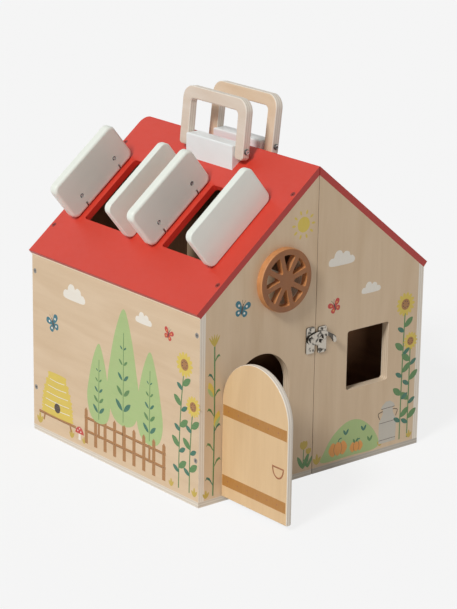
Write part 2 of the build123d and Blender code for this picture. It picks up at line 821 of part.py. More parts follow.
def pivot_rivet():
    """Shank through the hook and the left plate, with a domed head."""
    with BuildPart() as rivet:
        with Locations(latch_pivot_place()):
            shank = PLATE_STEEL + HOOK_GAP + HOOK_STEEL + RIVET_GRIP
            Cylinder(RIVET_R, shank, align=(Align.CENTER, Align.CENTER, Align.MAX))
            head = (Align.CENTER, Align.CENTER, Align.MIN)
            with Locations((0, 0, RUNNING_GAP)):
                Cylinder(RIVET_HEAD_R, RIVET_HEAD_HEIGHT, align=head)
            Cylinder(RIVET_R, RIVET_HEAD_HEIGHT, align=head)
        fillet(rivet.faces().sort_by(Axis.Y)[0].edges(), RIVET_DOME_R)
    return rivet


def latch_hook():
    """Crescent hook: boss, arched arm with a mouth over the stud, and a forward thumb tab."""
    tip_low = STUD_R + HOOK_TIP_GAP - STUD_DROP
    mouth_left = STUD_X - STUD_R - MOUTH_NEAR_ROOM
    mouth_right = STUD_X + STUD_R + MOUTH_FAR_ROOM
    mouth_r = (mouth_right - mouth_left) / 2
    hook_back = FRONT - PLATE_STEEL - HOOK_GAP
    hook_front = hook_back - HOOK_STEEL
    with BuildPart() as hook:
        with BuildSketch(Plane((LATCH_PIVOT_X, hook_back, LATCH_Z), x_dir=(1, 0, 0), z_dir=(0, -1, 0))):
            with BuildLine():
                tail = Line((0, -HOOK_BOSS_R), (mouth_left - HEEL_CORNER, HEEL_LOW))
                heel = Line(tail @ 1, (mouth_left, HEEL_HIGH))
                rise = Line(heel @ 1, (mouth_left, MOUTH_TOP - mouth_r))
                crown = ThreePointArc(
                    rise @ 1,
                    ((mouth_left + mouth_right) / 2, MOUTH_TOP),
                    (mouth_right, MOUTH_TOP - mouth_r),
                )
                drop = Line(crown @ 1, (mouth_right, tip_low))
                tip = Line(drop @ 1, (mouth_right + HOOK_TIP_WIDTH, tip_low))
                throat = ThreePointArc(tip @ 1, THROAT_TOP, THROAT_END)
                under = Line(throat @ 1, TOE_START)
                toe = ThreePointArc(under @ 1, TOE_LOW, TOE_END)
                nose = Line(toe @ 1, NOSE)
                back = ThreePointArc(nose @ 1, HOOK_CREST, (0, HOOK_BOSS_R))
                ThreePointArc(back @ 1, (-HOOK_BOSS_R, 0), (0, -HOOK_BOSS_R))
            make_face()
            Circle(RIVET_R + RUNNING_GAP, mode=Mode.SUBTRACT)
        extrude(amount=HOOK_STEEL + THUMB_STEP)
        bend, thumb = mouth_right + THUMB_BEND, mouth_right + THUMB_START
        with BuildSketch(Plane((LATCH_PIVOT_X, 0, LATCH_Z - HOOK_REACH))):
            with BuildLine():
                Polyline(
                    (-HOOK_REACH, hook_back),
                    (bend, hook_back),
                    (thumb, hook_back - THUMB_STEP),
                    (HOOK_REACH, hook_back - THUMB_STEP),
                    (HOOK_REACH, hook_front - THUMB_STEP),
                    (thumb - THUMB_MITRE, hook_front - THUMB_STEP),
                    (bend - THUMB_MITRE, hook_front),
                    (-HOOK_REACH, hook_front),
                    close=True,
                )
            make_face()
        extrude(amount=2 * HOOK_REACH, mode=Mode.INTERSECT)
    return hook


# Butt hinges at the back


def knuckle_heights(side):
    """Low ends of the knuckles that belong to one leaf, from the bottom of the hinge."""
    pitch = BUTT_HEIGHT / BUTT_KNUCKLES
    first = 0 if side == LEFT else 1
    return [index * pitch for index in range(first, BUTT_KNUCKLES, 2)]


def butt_leaves(side):
    """One leaf of each hinge: a plate on the gable and its knuckles on the axis."""
    pitch = BUTT_HEIGHT / BUTT_KNUCKLES
    knuckle = pitch - BUTT_CLEARANCE
    root = BUTT_KNUCKLE_R + BUTT_CLEARANCE
    with BuildPart() as leaves:
        for centre in (BUTT_LOWER_Z, BUTT_UPPER_Z):
            low = centre - BUTT_HEIGHT / 2
            with BuildSketch(Plane.XY.offset(low)):
                with Locations((BUTT_AXIS_X + side * (root + BUTT_LEAF_WIDTH) / 2, BACK)):
                    Rectangle(BUTT_LEAF_WIDTH - root, BUTT_STEEL, align=(Align.CENTER, Align.MIN))
            extrude(amount=BUTT_HEIGHT)
            for height in knuckle_heights(side):
                with BuildSketch(Plane.XY.offset(low + height + BUTT_CLEARANCE / 2)):
                    with Locations((BUTT_AXIS_X, BUTT_AXIS_Y)):
                        Circle(BUTT_KNUCKLE_R)
                    with Locations((BUTT_AXIS_X + side * root / 2, BACK)):
                        Rectangle(root, BUTT_STEEL, align=(Align.CENTER, Align.MIN))
                    with Locations((BUTT_AXIS_X, BUTT_AXIS_Y)):
                        Circle(BUTT_PIN_R + RUNNING_GAP, mode=Mode.SUBTRACT)
                extrude(amount=knuckle)
        sink(butt_screw_places(side), SMALL_SCREW_R, SMALL_HEAD_R, SMALL_SCREW_LENGTH)
    return leaves


def butt_pins():
    with BuildPart() as pins:
        for centre in (BUTT_LOWER_Z, BUTT_UPPER_Z):
            with BuildSketch(Plane.XY.offset(centre - BUTT_HEIGHT / 2)):
                with Locations((BUTT_AXIS_X, BUTT_AXIS_Y)):
                    Circle(BUTT_PIN_R)
            extrude(amount=BUTT_HEIGHT)
    return pins


os.makedirs("parts", exist_ok=True)

for name, side in SIDES.items():
    save(base(side), f"{name}_base")
    save(side_wall(side), f"{name}_side_wall")
    save(back_gable(side), f"{name}_back_gable")
    case_screws = countersunk_screws(case_screw_places(side), SCREW_R, SCREW_HEAD_R, SCREW_LENGTH)
    save(case_screws, f"{name}_case_screws")
    block_screws = countersunk_screws(
        block_screw_places(side), SCREW_R, SCREW_HEAD_R, BLOCK_SCREW_LENGTH
    )
    save(block_screws, f"{name}_block_screws")
    save(handle_block(side), f"{name}_handle_block")
    save(handle_screws(side), f"{name}_handle_screws")
    plate_screws = countersunk_screws(
        plate_screw_places(side), SMALL_SCREW_R, SMALL_HEAD_R, SMALL_SCREW_LENGTH
    )
    save(plate_screws, f"{name}_latch_screws")
    butt_screws = countersunk_screws(
        butt_screw_places(side), SMALL_SCREW_R, SMALL_HEAD_R, SMALL_SCREW_LENGTH
    )
    save(butt_screws, f"{name}_hinge_screws")
    save(butt_leaves(side), f"{name}_hinge_leaves")

save(left_front_gable(), "left_front_gable")
save(right_front_gable(), "right_front_gable")
save(left_roof(), "left_roof")
save(right_roof(), "right_roof")
save(loft_floor(), "loft_floor")
save(loft_guard(), "loft_guard")
save(wheel_rosette(), "wheel_rosette")
save(butt_pins(), "hinge_pins")

save(handle(LEFT, LEFT_HANDLE_ANGLE), "left_handle")
save(handle(RIGHT, RIGHT_HANDLE_ANGLE), "right_handle")

save(latch_plate(LEFT), "latch_pivot_plate")
save(latch_plate(RIGHT), "latch_keeper_plate")
save(keeper_stud(), "latch_keeper_stud")
save(pivot_rivet(), "latch_pivot_rivet")
save(latch_hook(), "latch_hook")

save(hinge_lugs(SHUTTER_HINGES, SHUTTER_HINGE_STATIONS), "shutter_hinge_lugs")
save(hinge_lugs([door_hinge()], DOOR_HINGE_STATIONS), "door_hinge_lugs")
for number, hinge in enumerate(SHUTTER_HINGES, start=1):
    save(shutter_panel(hinge), f"shutter_{number}")
    save(eye_bolts(hinge, SHUTTER_HINGE_STATIONS), f"shutter_{number}_eye_bolts")
    save(hinge_pins(hinge, SHUTTER_HINGE_STATIONS), f"shutter_{number}_hinge_pins")
    save(barrel_nuts(hinge, SHUTTER_HINGE_STATIONS), f"shutter_{number}_barrel_nuts")
save(door_panel(), "door")
save(eye_bolts(door_hinge(), DOOR_HINGE_STATIONS), "door_eye_bolts")
save(hinge_pins(door_hinge(), DOOR_HINGE_STATIONS), "door_hinge_pins")
save(barrel_nuts(door_hinge(), DOOR_HINGE_STATIONS), "door_barrel_nuts")
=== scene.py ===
"""Looks for the wooden toy farm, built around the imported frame."""

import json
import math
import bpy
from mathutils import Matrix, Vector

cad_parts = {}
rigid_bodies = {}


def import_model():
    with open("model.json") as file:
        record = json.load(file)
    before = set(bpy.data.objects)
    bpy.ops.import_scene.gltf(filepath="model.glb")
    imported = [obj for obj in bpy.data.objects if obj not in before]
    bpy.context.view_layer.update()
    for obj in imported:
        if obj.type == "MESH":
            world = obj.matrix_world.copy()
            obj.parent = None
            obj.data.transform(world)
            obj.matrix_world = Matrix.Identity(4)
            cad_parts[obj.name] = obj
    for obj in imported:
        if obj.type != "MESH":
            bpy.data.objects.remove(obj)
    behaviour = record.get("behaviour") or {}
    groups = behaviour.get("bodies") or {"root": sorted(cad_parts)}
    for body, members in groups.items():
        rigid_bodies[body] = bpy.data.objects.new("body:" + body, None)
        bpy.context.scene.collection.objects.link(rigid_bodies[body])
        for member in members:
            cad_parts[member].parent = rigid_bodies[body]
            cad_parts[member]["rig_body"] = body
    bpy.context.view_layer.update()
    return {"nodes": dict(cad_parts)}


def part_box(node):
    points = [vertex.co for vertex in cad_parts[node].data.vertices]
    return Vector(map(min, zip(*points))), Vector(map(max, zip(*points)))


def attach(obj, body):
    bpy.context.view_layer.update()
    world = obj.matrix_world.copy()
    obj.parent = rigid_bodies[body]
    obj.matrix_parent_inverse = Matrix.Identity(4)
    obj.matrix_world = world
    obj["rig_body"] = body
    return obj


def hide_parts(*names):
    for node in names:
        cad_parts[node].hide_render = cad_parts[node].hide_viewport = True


bl_info = {
    "name": "Wooden toy farm",
    "version": (1, 0, 0),
    "blender": (4, 5, 0),
    "location": "View3D > Sidebar > Toy farm",
    "description": "Plywood, paint, prints and hardware for a toy farm that opens like a case",
    "category": "Object",
}

import bmesh
import bpy
import numpy as np
from bpy.props import FloatProperty, FloatVectorProperty, PointerProperty
from bpy.types import Operator, Panel, PropertyGroup
from mathutils import Matrix, Vector

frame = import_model()

MM = 0.001
NODES = frame["nodes"]
HALVES, SHUTTERS = ("left", "right"), (1, 2, 3, 4)
X, Y, Z = Vector((1, 0, 0)), Vector((0, 1, 0)), Vector((0, 0, 1))
ZERO = Vector((0, 0, 0))
ROOF_PITCH = math.radians(39)
LEFT_SLOPE = Vector((-math.sin(ROOF_PITCH), 0, math.cos(ROOF_PITCH)))
RIGHT_SLOPE = Vector((math.sin(ROOF_PITCH), 0, math.cos(ROOF_PITCH)))
HANDLE_LEANS = {"left": math.radians(5.4), "right": math.radians(6.5)}


def srgb(red, green, blue):
    """Linear colour, with alpha, from a screen colour."""
    shares = [value / 255 for value in (red, green, blue)]
    return tuple(s / 12.92 if s < 0.04 else ((s + 0.055) / 1.055) ** 2.4 for s in shares) + (1.0,)


def colour(name, description, *screen):
    tone = srgb(*screen)
    return FloatVectorProperty(
        name=name, description=description, subtype="COLOR", size=4, min=0, max=1, default=tone
    )


def length(name, description, millimetres):
    size = millimetres * MM
    return FloatProperty(
        name=name, description=description, default=size, min=0, precision=5, unit="LENGTH"
    )


def fraction(name, description, part):
    return FloatProperty(name=name, description=description, default=part, min=0, max=1)


def amount(name, description, value):
    return FloatProperty(name=name, description=description, default=value, min=0)


def angle(name, description, degrees):
    turn = math.radians(degrees)
    return FloatProperty(name=name, description=description, default=turn, subtype="ANGLE")


def vector(name, description, value, kind):
    return FloatVectorProperty(name=name, description=description, default=value, subtype=kind)


class FarmWood(PropertyGroup):
    pale: colour("Pale veneer", "Light tone of the birch faces", 222, 197, 166)
    tan: colour("Tan veneer", "Warm tone in the flames of the birch", 209, 181, 147)
    # Painted shade: the two tones inside are darker and browner than the wood outside, for the
    # shade inside the farm.
    shaded_inner_pale: colour("Pale inside", "Light tone of the faces inside", 149, 109, 78)
    shaded_inner_tan: colour("Tan inside", "Warm tone of the faces inside", 121, 86, 61)
    edge_pale: colour("Pale plies", "Light plies in sawn edges", 228, 209, 184)
    edge_tan: colour("Tan plies", "Cross plies in sawn edges", 205, 180, 150)
    limed_pale: colour("Limed plies", "Light plies under a white wash", 240, 231, 217)
    limed_tan: colour("Limed cross plies", "Cross plies under a white wash", 217, 203, 186)
    # Painted shade: the two factors below darken the limed plies on the bases' edges, the right
    # one more.
    left_base_shade: fraction("Left wash", "Brightness of the left base's edges", 0.86)
    right_base_shade: fraction("Right wash", "Brightness of the right base's edges", 0.64)
    ply: length("Ply", "Thickness of one ply in the boards", 1.4)
    door_pale: colour("Pale door", "Light tone of the door's veneer", 226, 194, 150)
    door_tan: colour("Tan door", "Warm tone of the door's veneer", 212, 178, 134)
    grip_pale: colour("Pale grip", "Light tone of the handle on the left", 226, 212, 197)
    grip_tan: colour("Tan grip", "Warm tone of the handle on the left", 212, 192, 171)
    warm_pale: colour("Pale warm grip", "Light tone of the handle on the right", 230, 208, 181)
    warm_tan: colour("Tan warm grip", "Warm tone of the handle on the right", 218, 189, 156)


class FarmPaint(PropertyGroup):
    roof: colour("Roof red", "Satin paint on the roof boards", 210, 61, 43)
    eave_depth: length("Eave depth", "Depth at which the paint ends on the eaves", 3.8)
    eave: colour("Bare eave", "Bare plies below the paint on the eaves", 255, 233, 206)
    # Painted light: a brighter red on the hatches' sawn edges stands for light that the shutters
    # throw into the hatches.
    lit_hatch_edge: colour("Hatch edge", "The same paint on the sawn edges of the hatches", 236, 56, 42)
    roof_edge: colour("Roof edge", "The same paint where end grain drinks it", 178, 50, 42)
    white: colour("White lacquer", "Lacquer on the shutters", 240, 244, 234)
    block_white: colour("Block white", "Lacquer on the handle blocks", 240, 244, 243)
    wheel: colour("Wheel stain", "Brown stain on the face of the wheel", 159, 102, 55)
    wheel_dark: colour("Dark stain", "The same stain in the open grain", 134, 83, 47)
    wheel_edge: colour("Stain on edges", "Stain on the rim and spoke edges", 212, 148, 94)


class FarmInk(PropertyGroup):
    light_green: colour("Light green", "Ink for hills and poplars", 170, 194, 130)
    leaf_green: colour("Leaf green", "Ink for leaves and stems", 86, 132, 78)
    deep_green: colour("Deep green", "Ink for veins and small leaves", 48, 112, 92)
    teal: colour("Teal", "Ink for butterflies", 38, 112, 128)
    brown: colour("Brown", "Ink for the fence and trunks", 168, 118, 68)
    dark: colour("Dark brown", "Ink for seeds and fine lines", 66, 52, 44)
    yellow: colour("Yellow", "Ink for petals and the hive", 220, 194, 84)
    orange: colour("Orange", "Ink for pumpkins", 232, 158, 78)
    red: colour("Red", "Ink for butterflies and caps", 196, 62, 58)
    olive: colour("Olive", "Ink for tulips and tufts of grass", 196, 170, 72)
    white: colour("White", "Ink for clouds and highlights", 240, 234, 222)
    grey: colour("Grey", "Ink for the churn", 200, 194, 182)
    strap: colour("Strap", "Painted straps on the door", 178, 123, 55)
    outline: colour("Handle outline", "Painted outline of the door handle", 165, 105, 66)


class FarmHardware(PropertyGroup):
    zinc: colour("Zinc", "Bright zinc plate", 186, 178, 166)
    steel: colour("Screw steel", "Plated screws", 156, 152, 147)
    # Partly real and partly painted: the nearly white plate stands for the nuts' bright plating
    # and for a painted highlight on them.
    nut: colour("Nut plate", "Bright plate on the cross nuts", 252, 250, 246)
    painted: colour("Painted screws", "Roof paint over the screw heads", 142, 42, 32)
    painted_from: length("Painted from", "Height from which screws are painted over", 200)
    recess: length("Recess", "Width of the cross recess in the screws", 0.62)
    recess_depth: length("Recess depth", "Depth of the recess in the screws", 1.0)


class FarmStage(PropertyGroup):
    floor: length("Floor", "Side of the pale floor", 12000)
    floor_tone: fraction("Floor tone", "How light the floor is under its glow", 0.86)
    backdrop: colour("Backdrop", "What the camera sees around the farm", 245, 245, 245)
    glow: colour("Floor glow", "Light that brings the floor up to the backdrop", 251, 251, 251)
    glow_share: fraction("Glow share", "Share of the glow in what the camera sees", 0.85)
    key: amount("Key", "Strength of the main light", 2.1)
    key_size: angle("Key size", "Angle that the main light fills in the sky", 13)
    key_side: vector("Key side", "Direction of the main light", (-0.74, -0.22, 0.64), "DIRECTION")
    fill: amount("Fill", "Strength of the light all round", 0.29)
    lens: amount("Lens", "Focal length over the frame's long side", 133.73)
    place: vector("Place", "Where the camera is", (-1.4562, -1.7549, 0.8656), "TRANSLATION")
    yaw: angle("Yaw", "Turn of the camera from straight ahead to the right", 39.75)
    dip: angle("Dip", "How far the camera looks down", 17.47)
    roll: angle("Roll", "Tilt of the camera about its line of sight", 0.872)


class Graph:
    """Adds nodes to one tree and links them."""

    def __init__(self, tree):
        self.tree = tree

    def add(self, kind, inputs=None, **settings):
        node = self.tree.nodes.new(kind)
        for key, value in settings.items():
            setattr(node, key, value)
        for key, value in (inputs or {}).items():
            for one in value if isinstance(value, list) else [value]:
                if isinstance(one, bpy.types.NodeSocket):
                    self.tree.links.new(one, node.inputs[key])
                else:
                    node.inputs[key].default_value = one
        return node

    def out(self, kind, inputs=None, **settings):
        """First output of a new node."""
        return self.add(kind, inputs, **settings).outputs[0]

    def maths(self, operation, *values):
        return self.out("ShaderNodeMath", dict(enumerate(values)), operation=operation)

    def times(self, value, factor, plus=None):
        """A product, with something added to it if it is given."""
        if plus is None:
            return self.maths("MULTIPLY", value, factor)
        return self.maths("MULTIPLY_ADD", value, factor, plus)

    def dot(self, first, second):
        node = self.add("ShaderNodeVectorMath", {0: first, 1: second}, operation="DOT_PRODUCT")
        return node.outputs["Value"]

    def vector(self, x=0.0, y=0.0, z=0.0):
        return self.out("ShaderNodeCombineXYZ", {"X": x, "Y": y, "Z": z})

    def attribute(self, name, kind):
        return self.out("GeometryNodeInputNamedAttribute", {"Name": name}, data_type=kind)

    def mix(self, factor, first, second, blend="MIX"):
        sockets = {0: factor, 6: first, 7: second}
        return self.add("ShaderNodeMix", sockets, data_type="RGBA", blend_type=blend).outputs[2]

    def noise(self, given, long, wide, detail=2.0, distortion=0.0):
        """Noise with blotches this long and wide, in millimetres, at the given place."""
        sizes = (("Along", long), ("Across", wide), ("Depth", wide))
        where = self.vector(*(self.maths("DIVIDE", given[name], size) for name, size in sizes))
        sockets = {"Vector": where, "Scale": 1.0, "Detail": detail, "Distortion": distortion}
        return self.out("ShaderNodeTexNoise", sockets)

    def spread(self, value, low, high, start=0.0, end=1.0):
        """Stretches a value from one range to another and stops it at the ends."""
        return self.out("ShaderNodeMapRange", {0: value, 1: low, 2: high, 3: start, 4: end})


def emptied(owner):
    """Shader tree of a material or a world, with nothing in it."""
    owner.use_nodes = True
    owner.node_tree.nodes.clear()
    return owner.node_tree


def new_tree(name, kind, inputs, outputs):
    """A node group with named sockets, its Graph, and what it is given."""
    tree = bpy.data.node_groups.new(name, kind)
    for direction, sockets in (("INPUT", inputs), ("OUTPUT", outputs)):
        for socket, form in sockets.items():
            tree.interface.new_socket(socket, in_out=direction, socket_type="NodeSocket" + form)
    graph = Graph(tree)
    return tree, graph, graph.add("NodeGroupInput").outputs


def shade(tone, light):
    """The same colour, with this part of its light."""
    return tuple(part * light for part in tone[:3]) + (1,)


PLACE = {"Along": "Float", "Across": "Float", "Depth": "Float"}
TONES = {"Pale": "Color", "Tan": "Color"}

# Shares of the veneer's pattern, and the tint of its pores.
FLAME, STREAK, FIBRE = 0.68, 0.17, 0.15
PORE = (0.72, 0.6, 0.48, 1)

# Places in two plies of a sawn edge, and how tan the edge is there.
PLIES = ((0.0, 0.0), (0.44, 0.05), (0.48, 1.0), (0.52, 0.6), (0.95, 0.7), (1.0, 0.9))


def make_veneer_group():
    """Birch veneer: soft flames, streaks, fine fibres and short dark pores."""
    made = {"Color": "Color", "Relief": "Float"}
    tree, graph, given = new_tree("Birch veneer", "ShaderNodeTree", PLACE | TONES, made)
    flame = graph.noise(given, 150, 24, distortion=0.9)
    streak = graph.noise(given, 60, 3.4)
    fibre = graph.noise(given, 12, 0.45)
    pore = graph.noise(given, 2.4, 0.3)
    tone = graph.times(streak, STREAK, graph.times(flame, FLAME))
    tone = graph.spread(graph.times(fibre, FIBRE, tone), 0.3, 0.7)
    pores = graph.spread(pore, 0.66, 0.76)
    wood = graph.mix(tone, given["Pale"], given["Tan"])
    stained = graph.mix(graph.times(pores, 0.5), wood, PORE, "MULTIPLY")
    relief = graph.maths("SUBTRACT", fibre, pores)
    graph.add("NodeGroupOutput", {"Color": stained, "Relief": relief})
    return tree


def make_edge_group():
    """Sawn edge of plywood: pale and tan plies with thin glue lines and end grain."""
    inputs = PLACE | {"Ply": "Float"} | TONES
    tree, graph, given = new_tree("Ply edge", "ShaderNodeTree", inputs, {"Color": "Color"})
    wander = graph.noise(given, 30, 9)
    level = graph.times(wander, 0.2, graph.maths("DIVIDE", given["Depth"], given["Ply"]))
    phase = graph.maths("FRACT", graph.times(level, 0.5))
    ramp = graph.add("ShaderNodeValToRGB", {"Fac": phase})
    stops = ramp.color_ramp.elements
    stops.remove(stops[1])
    for place, tone in PLIES:
        stop = stops.new(place) if place else stops[0]
        stop.color = (tone, tone, tone, 1)
    grain = graph.noise(given, 0.7, 0.35)
    tone = graph.times(graph.maths("SUBTRACT", grain, 0.5), 0.5, ramp.outputs[0])
    sawn = graph.mix(graph.spread(tone, 0.0, 1.0), given["Pale"], given["Tan"])
    graph.add("NodeGroupOutput", {"Color": sawn})
    return tree


GROUPS = {}


class Finish(Graph):
    """A material on a board, with places measured from the board's own face."""

    def __init__(self, name, normal, grain, top):
        self.material = bpy.data.materials.new(name)
        super().__init__(emptied(self.material))
        coordinates = self.add("ShaderNodeTexCoord").outputs
        self.where = coordinates["Object"]
        self.along = self.dot(self.where, grain / MM)
        across = self.dot(self.where, normal.cross(grain) / MM)
        level = self.dot(self.where, normal / MM)
        self.depth = self.maths("SUBTRACT", top.dot(normal) / MM, level)
        self.place = {"Along": self.along, "Across": across, "Depth": self.depth}
        self.facing = self.dot(coordinates["Normal"], normal)
        self.flat = self.spread(self.maths("ABSOLUTE", self.facing), 0.72, 0.8)

    def group(self, make, sockets):
        """Outputs of a node group that is made once for all boards."""
        if make not in GROUPS:
            GROUPS[make] = make()
        sockets = self.place | sockets
        return self.add("ShaderNodeGroup", sockets, node_tree=GROUPS[make]).outputs

    def veneer(self, pale, tan):
        """Colour and relief of birch veneer."""
        made = self.group(make_veneer_group, {"Pale": pale, "Tan": tan})
        return made["Color"], made["Relief"]

    def fine(self, long, wide, **settings):
        """Noise on the board with blotches of this size in millimetres."""
        return self.noise(self.place, long, wide, **settings)

    def board(self, veneer, plies, roughness):
        """Ends the material as veneer on the faces and plies along the edges."""
        face, relief = self.veneer(*veneer)
        ply = bpy.context.scene.farm_wood.ply / MM
        sockets = {"Ply": ply, "Pale": plies[0], "Tan": plies[1]}
        sawn = self.group(make_edge_group, sockets)["Color"]
        return self.close(self.mix(self.flat, sawn, face), relief, roughness)

    def close(self, look, relief, roughness, bump=0.02, **sockets):
        """Ends the material with a shader: the roughness varies a little, the bump is in mm."""
        mottled = self.spread(self.fine(9, 5), 0.3, 0.7, roughness - 0.05, roughness + 0.05)
        raised = self.out("ShaderNodeBump", {"Height": relief, "Distance": bump * MM})
        sockets = {"Base Color": look, "Roughness": mottled, "Normal": raised} | sockets
        shader = self.out("ShaderNodeBsdfPrincipled", sockets)
        self.add("ShaderNodeOutputMaterial", {"Surface": shader})
        return self.material


def dress(node, material):
    """Gives a CAD node its finished material in every slot."""
    for slot in NODES[node].material_slots:
        slot.material = material


def face_point(node, normal):
    """A point on the side of a node that faces along the normal."""
    low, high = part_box(node)
    return Vector([high[i] if normal[i] > 0 else low[i] for i in range(3)])


def corners_of(node):
    return [Vector(vertex.co) for vertex in NODES[node].data.vertices]


class FARM_OT_boards(Operator):
    """Birch plywood on the walls, gables, bases and loft"""

    bl_idname = "toy_farm.boards"
    bl_label = "Plywood boards"

    def execute(self, context):
        wood = context.scene.farm_wood
        bare, limed = (wood.edge_pale, wood.edge_tan), (wood.limed_pale, wood.limed_tan)
        # Painted shade on the bases' edges, darker on the right.
        base_shades = {"left": wood.left_base_shade, "right": wood.right_base_shade}
        for half, out in (("left", -X), ("right", X)):
            shaded_limed = [shade(tone, base_shades[half]) for tone in limed]
            self.plywood(f"{half}_side_wall", out, Y, limed)
            self.plywood(f"{half}_front_gable", -Y, Z, bare)
            self.plywood(f"{half}_back_gable", Y, Z, bare)
            self.plywood(f"{half}_base", -Z, Y, shaded_limed)
        self.plywood("loft_floor", Z, Y, bare)
        self.plywood("loft_guard", -X, Y, bare)
        return {"FINISHED"}

    def plywood(self, node, normal, grain, plies):
        """A fair face outside, a darker brown one inside as painted shade, and plies along the
        edges.
        """
        wood = bpy.context.scene.farm_wood
        finish = Finish(f"Birch {node}", normal, grain, face_point(node, normal))
        # Painted shade: faces turned into the farm take the darker inside tones.
        inside = finish.maths("LESS_THAN", finish.facing, 0.0)
        pale = finish.mix(inside, wood.pale, wood.shaded_inner_pale)
        tan = finish.mix(inside, wood.tan, wood.shaded_inner_tan)
        dress(node, finish.board((pale, tan), plies, roughness=0.52))


class FARM_OT_roof(Operator):
    """Satin red paint on the roof boards, bare wood darkened by painted shade underneath"""

    bl_idname = "toy_farm.roof"
    bl_label = "Painted roof"

    def execute(self, context):
        wood, paint = context.scene.farm_wood, context.scene.farm_paint
        slopes = {
            "left_roof": (LEFT_SLOPE, LEFT_SLOPE.cross(Y)),
            "right_roof": (RIGHT_SLOPE, Y.cross(RIGHT_SLOPE)),
        }
        for node, (normal, down) in slopes.items():
            corners = corners_of(node)
            ridge = max(corners, key=lambda corner: corner.z)
            eave = max(corner.dot(down) for corner in corners)
            gable = max(corner.y for corner in corners)
            finish = Finish(f"Red {node}", normal, Y, ridge)
            cloud = finish.spread(finish.fine(55, 40), 0.3, 0.7)
            top = finish.mix(cloud, paint.roof, finish.mix(0.12, paint.roof, paint.roof_edge))
            along = finish.maths("ABSOLUTE", finish.along)
            # Painted light: sawn edges away from the gable ends, the hatches' among them, take the
            # brighter red.
            middle = finish.maths("LESS_THAN", along, gable / MM - 1)
            sides = finish.mix(middle, paint.roof_edge, paint.lit_hatch_edge)
            red = finish.mix(finish.flat, sides, top)
            # Painted shade: the underside takes the darker inside tones.
            face, relief = finish.veneer(wood.shaded_inner_pale, wood.shaded_inner_tan)
            inside = finish.maths("LESS_THAN", finish.facing, 0.0)
            look = finish.mix(finish.times(finish.flat, inside), red, face)
            reach = finish.dot(finish.where, down / MM)
            end = finish.maths("GREATER_THAN", reach, eave / MM - 0.5)
            lower = finish.maths("GREATER_THAN", finish.depth, paint.eave_depth / MM)
            look = finish.mix(end, look, finish.mix(lower, paint.roof_edge, paint.eave))
            bumps = finish.times(finish.fine(1.6, 1.6), 0.8, finish.times(relief, 0.35))
            dress(node, finish.close(look, bumps, roughness=0.42, bump=0.03))
        return {"FINISHED"}


class FARM_OT_lacquer(Operator):
    """White lacquer on the shutters and the handle blocks"""

    bl_idname = "toy_farm.lacquer"
    bl_label = "White pieces"

    def execute(self, context):
        paint = context.scene.farm_paint
        for number in SHUTTERS:
            self.lacquer(f"shutter_{number}", paint.white, Y, Y.cross(LEFT_SLOPE))
        for half in HALVES:
            self.lacquer(f"{half}_handle_block", paint.block_white, Z, Y)
        return {"FINISHED"}

    def lacquer(self, node, tone, normal, grain):
        """Almost even, with a trace of grain and brush."""
        finish = Finish(f"Lacquer {node}", normal, grain, face_point(node, normal))
        cloud = finish.spread(finish.fine(30, 22), 0.3, 0.7)
        look = finish.mix(cloud, tone, shade(tone, 0.965))
        skin = finish.times(finish.fine(1.8, 1.8), 0.7, finish.fine(18, 0.9))
        dress(node, finish.close(look, skin, roughness=0.4, bump=0.025))


class FARM_OT_handles(Operator):
    """Birch plywood on the two carrying handles"""

    bl_idname = "toy_farm.handles"
    bl_label = "Carrying handles"

    def execute(self, context):
        wood = context.scene.farm_wood
        cool, warm = (wood.grip_pale, wood.grip_tan), (wood.warm_pale, wood.warm_tan)
        for half, tones in (("left", cool), ("right", warm)):
            node, lean = f"{half}_handle", HANDLE_LEANS[half]
            normal = Vector((math.cos(lean), 0, -math.sin(lean)))
            top = max(corners_of(node), key=lambda corner: corner.dot(normal))
            finish = Finish(f"Grip {node}", normal, Y, top)
            plies = (wood.limed_pale, wood.limed_tan)
            dress(node, finish.board(tones, plies, roughness=0.5))
        return {"FINISHED"}


class FARM_OT_door(Operator):
    """Warm veneer on the arched door, with pale limed edges"""

    bl_idname = "toy_farm.door"
    bl_label = "Door"

    def execute(self, context):
        wood = context.scene.farm_wood
        finish = Finish("Door veneer", -X, Z, face_point("door", -X))
        veneer, plies = (wood.door_pale, wood.door_tan), (wood.limed_pale, wood.limed_tan)
        dress("door", finish.board(veneer, plies, roughness=0.5))
        return {"FINISHED"}


class FARM_OT_wheel(Operator):
    """Brown stain on the wheel of the left gable"""

    bl_idname = "toy_farm.wheel"
    bl_label = "Wheel"

    def execute(self, context):
        paint = context.scene.farm_paint
        finish = Finish("Stained wheel", -Y, Z, face_point("wheel_rosette", -Y))
        face, relief = finish.veneer(paint.wheel, paint.wheel_dark)
        rough = finish.spread(finish.fine(9, 4), 0.2, 0.8, 0.0, 0.6)
        sides = finish.mix(rough, paint.wheel_edge, paint.wheel)
        look = finish.mix(finish.flat, sides, face)
        dress("wheel_rosette", finish.close(look, relief, roughness=0.5))
        return {"FINISHED"}


def metal(name, tone, roughness, metallic=1.0, edges=1.0):
    """Plated steel, a little uneven, whose edges may be darkened as painted shade and painted dark
    reflection.
    """
    finish = Finish(name, Y, X, ZERO)
    cloud = finish.spread(finish.fine(4.0, 4.0, detail=0.0), 0.5, 0.66)
    face = finish.mix(cloud, tone, shade(tone, 0.2))
    look = finish.mix(finish.flat, shade(tone, edges), face)
    return finish.close(look, finish.fine(1.4, 1.4), roughness, bump=0.003, Metallic=metallic)


def barn_screws(hardware):
    """Steel screws in the walls and the same screws painted over in the roof."""
    finish = Finish("Barn screws", Z, Y, ZERO)
    high = finish.maths("LESS_THAN", finish.depth, -hardware.painted_from / MM)
    look = finish.mix(high, hardware.steel, hardware.painted)
    bare = finish.maths("SUBTRACT", 1.0, high)
    skin = finish.fine(1.4, 1.4)
    return finish.close(look, skin, roughness=0.36, bump=0.003, Metallic=bare)


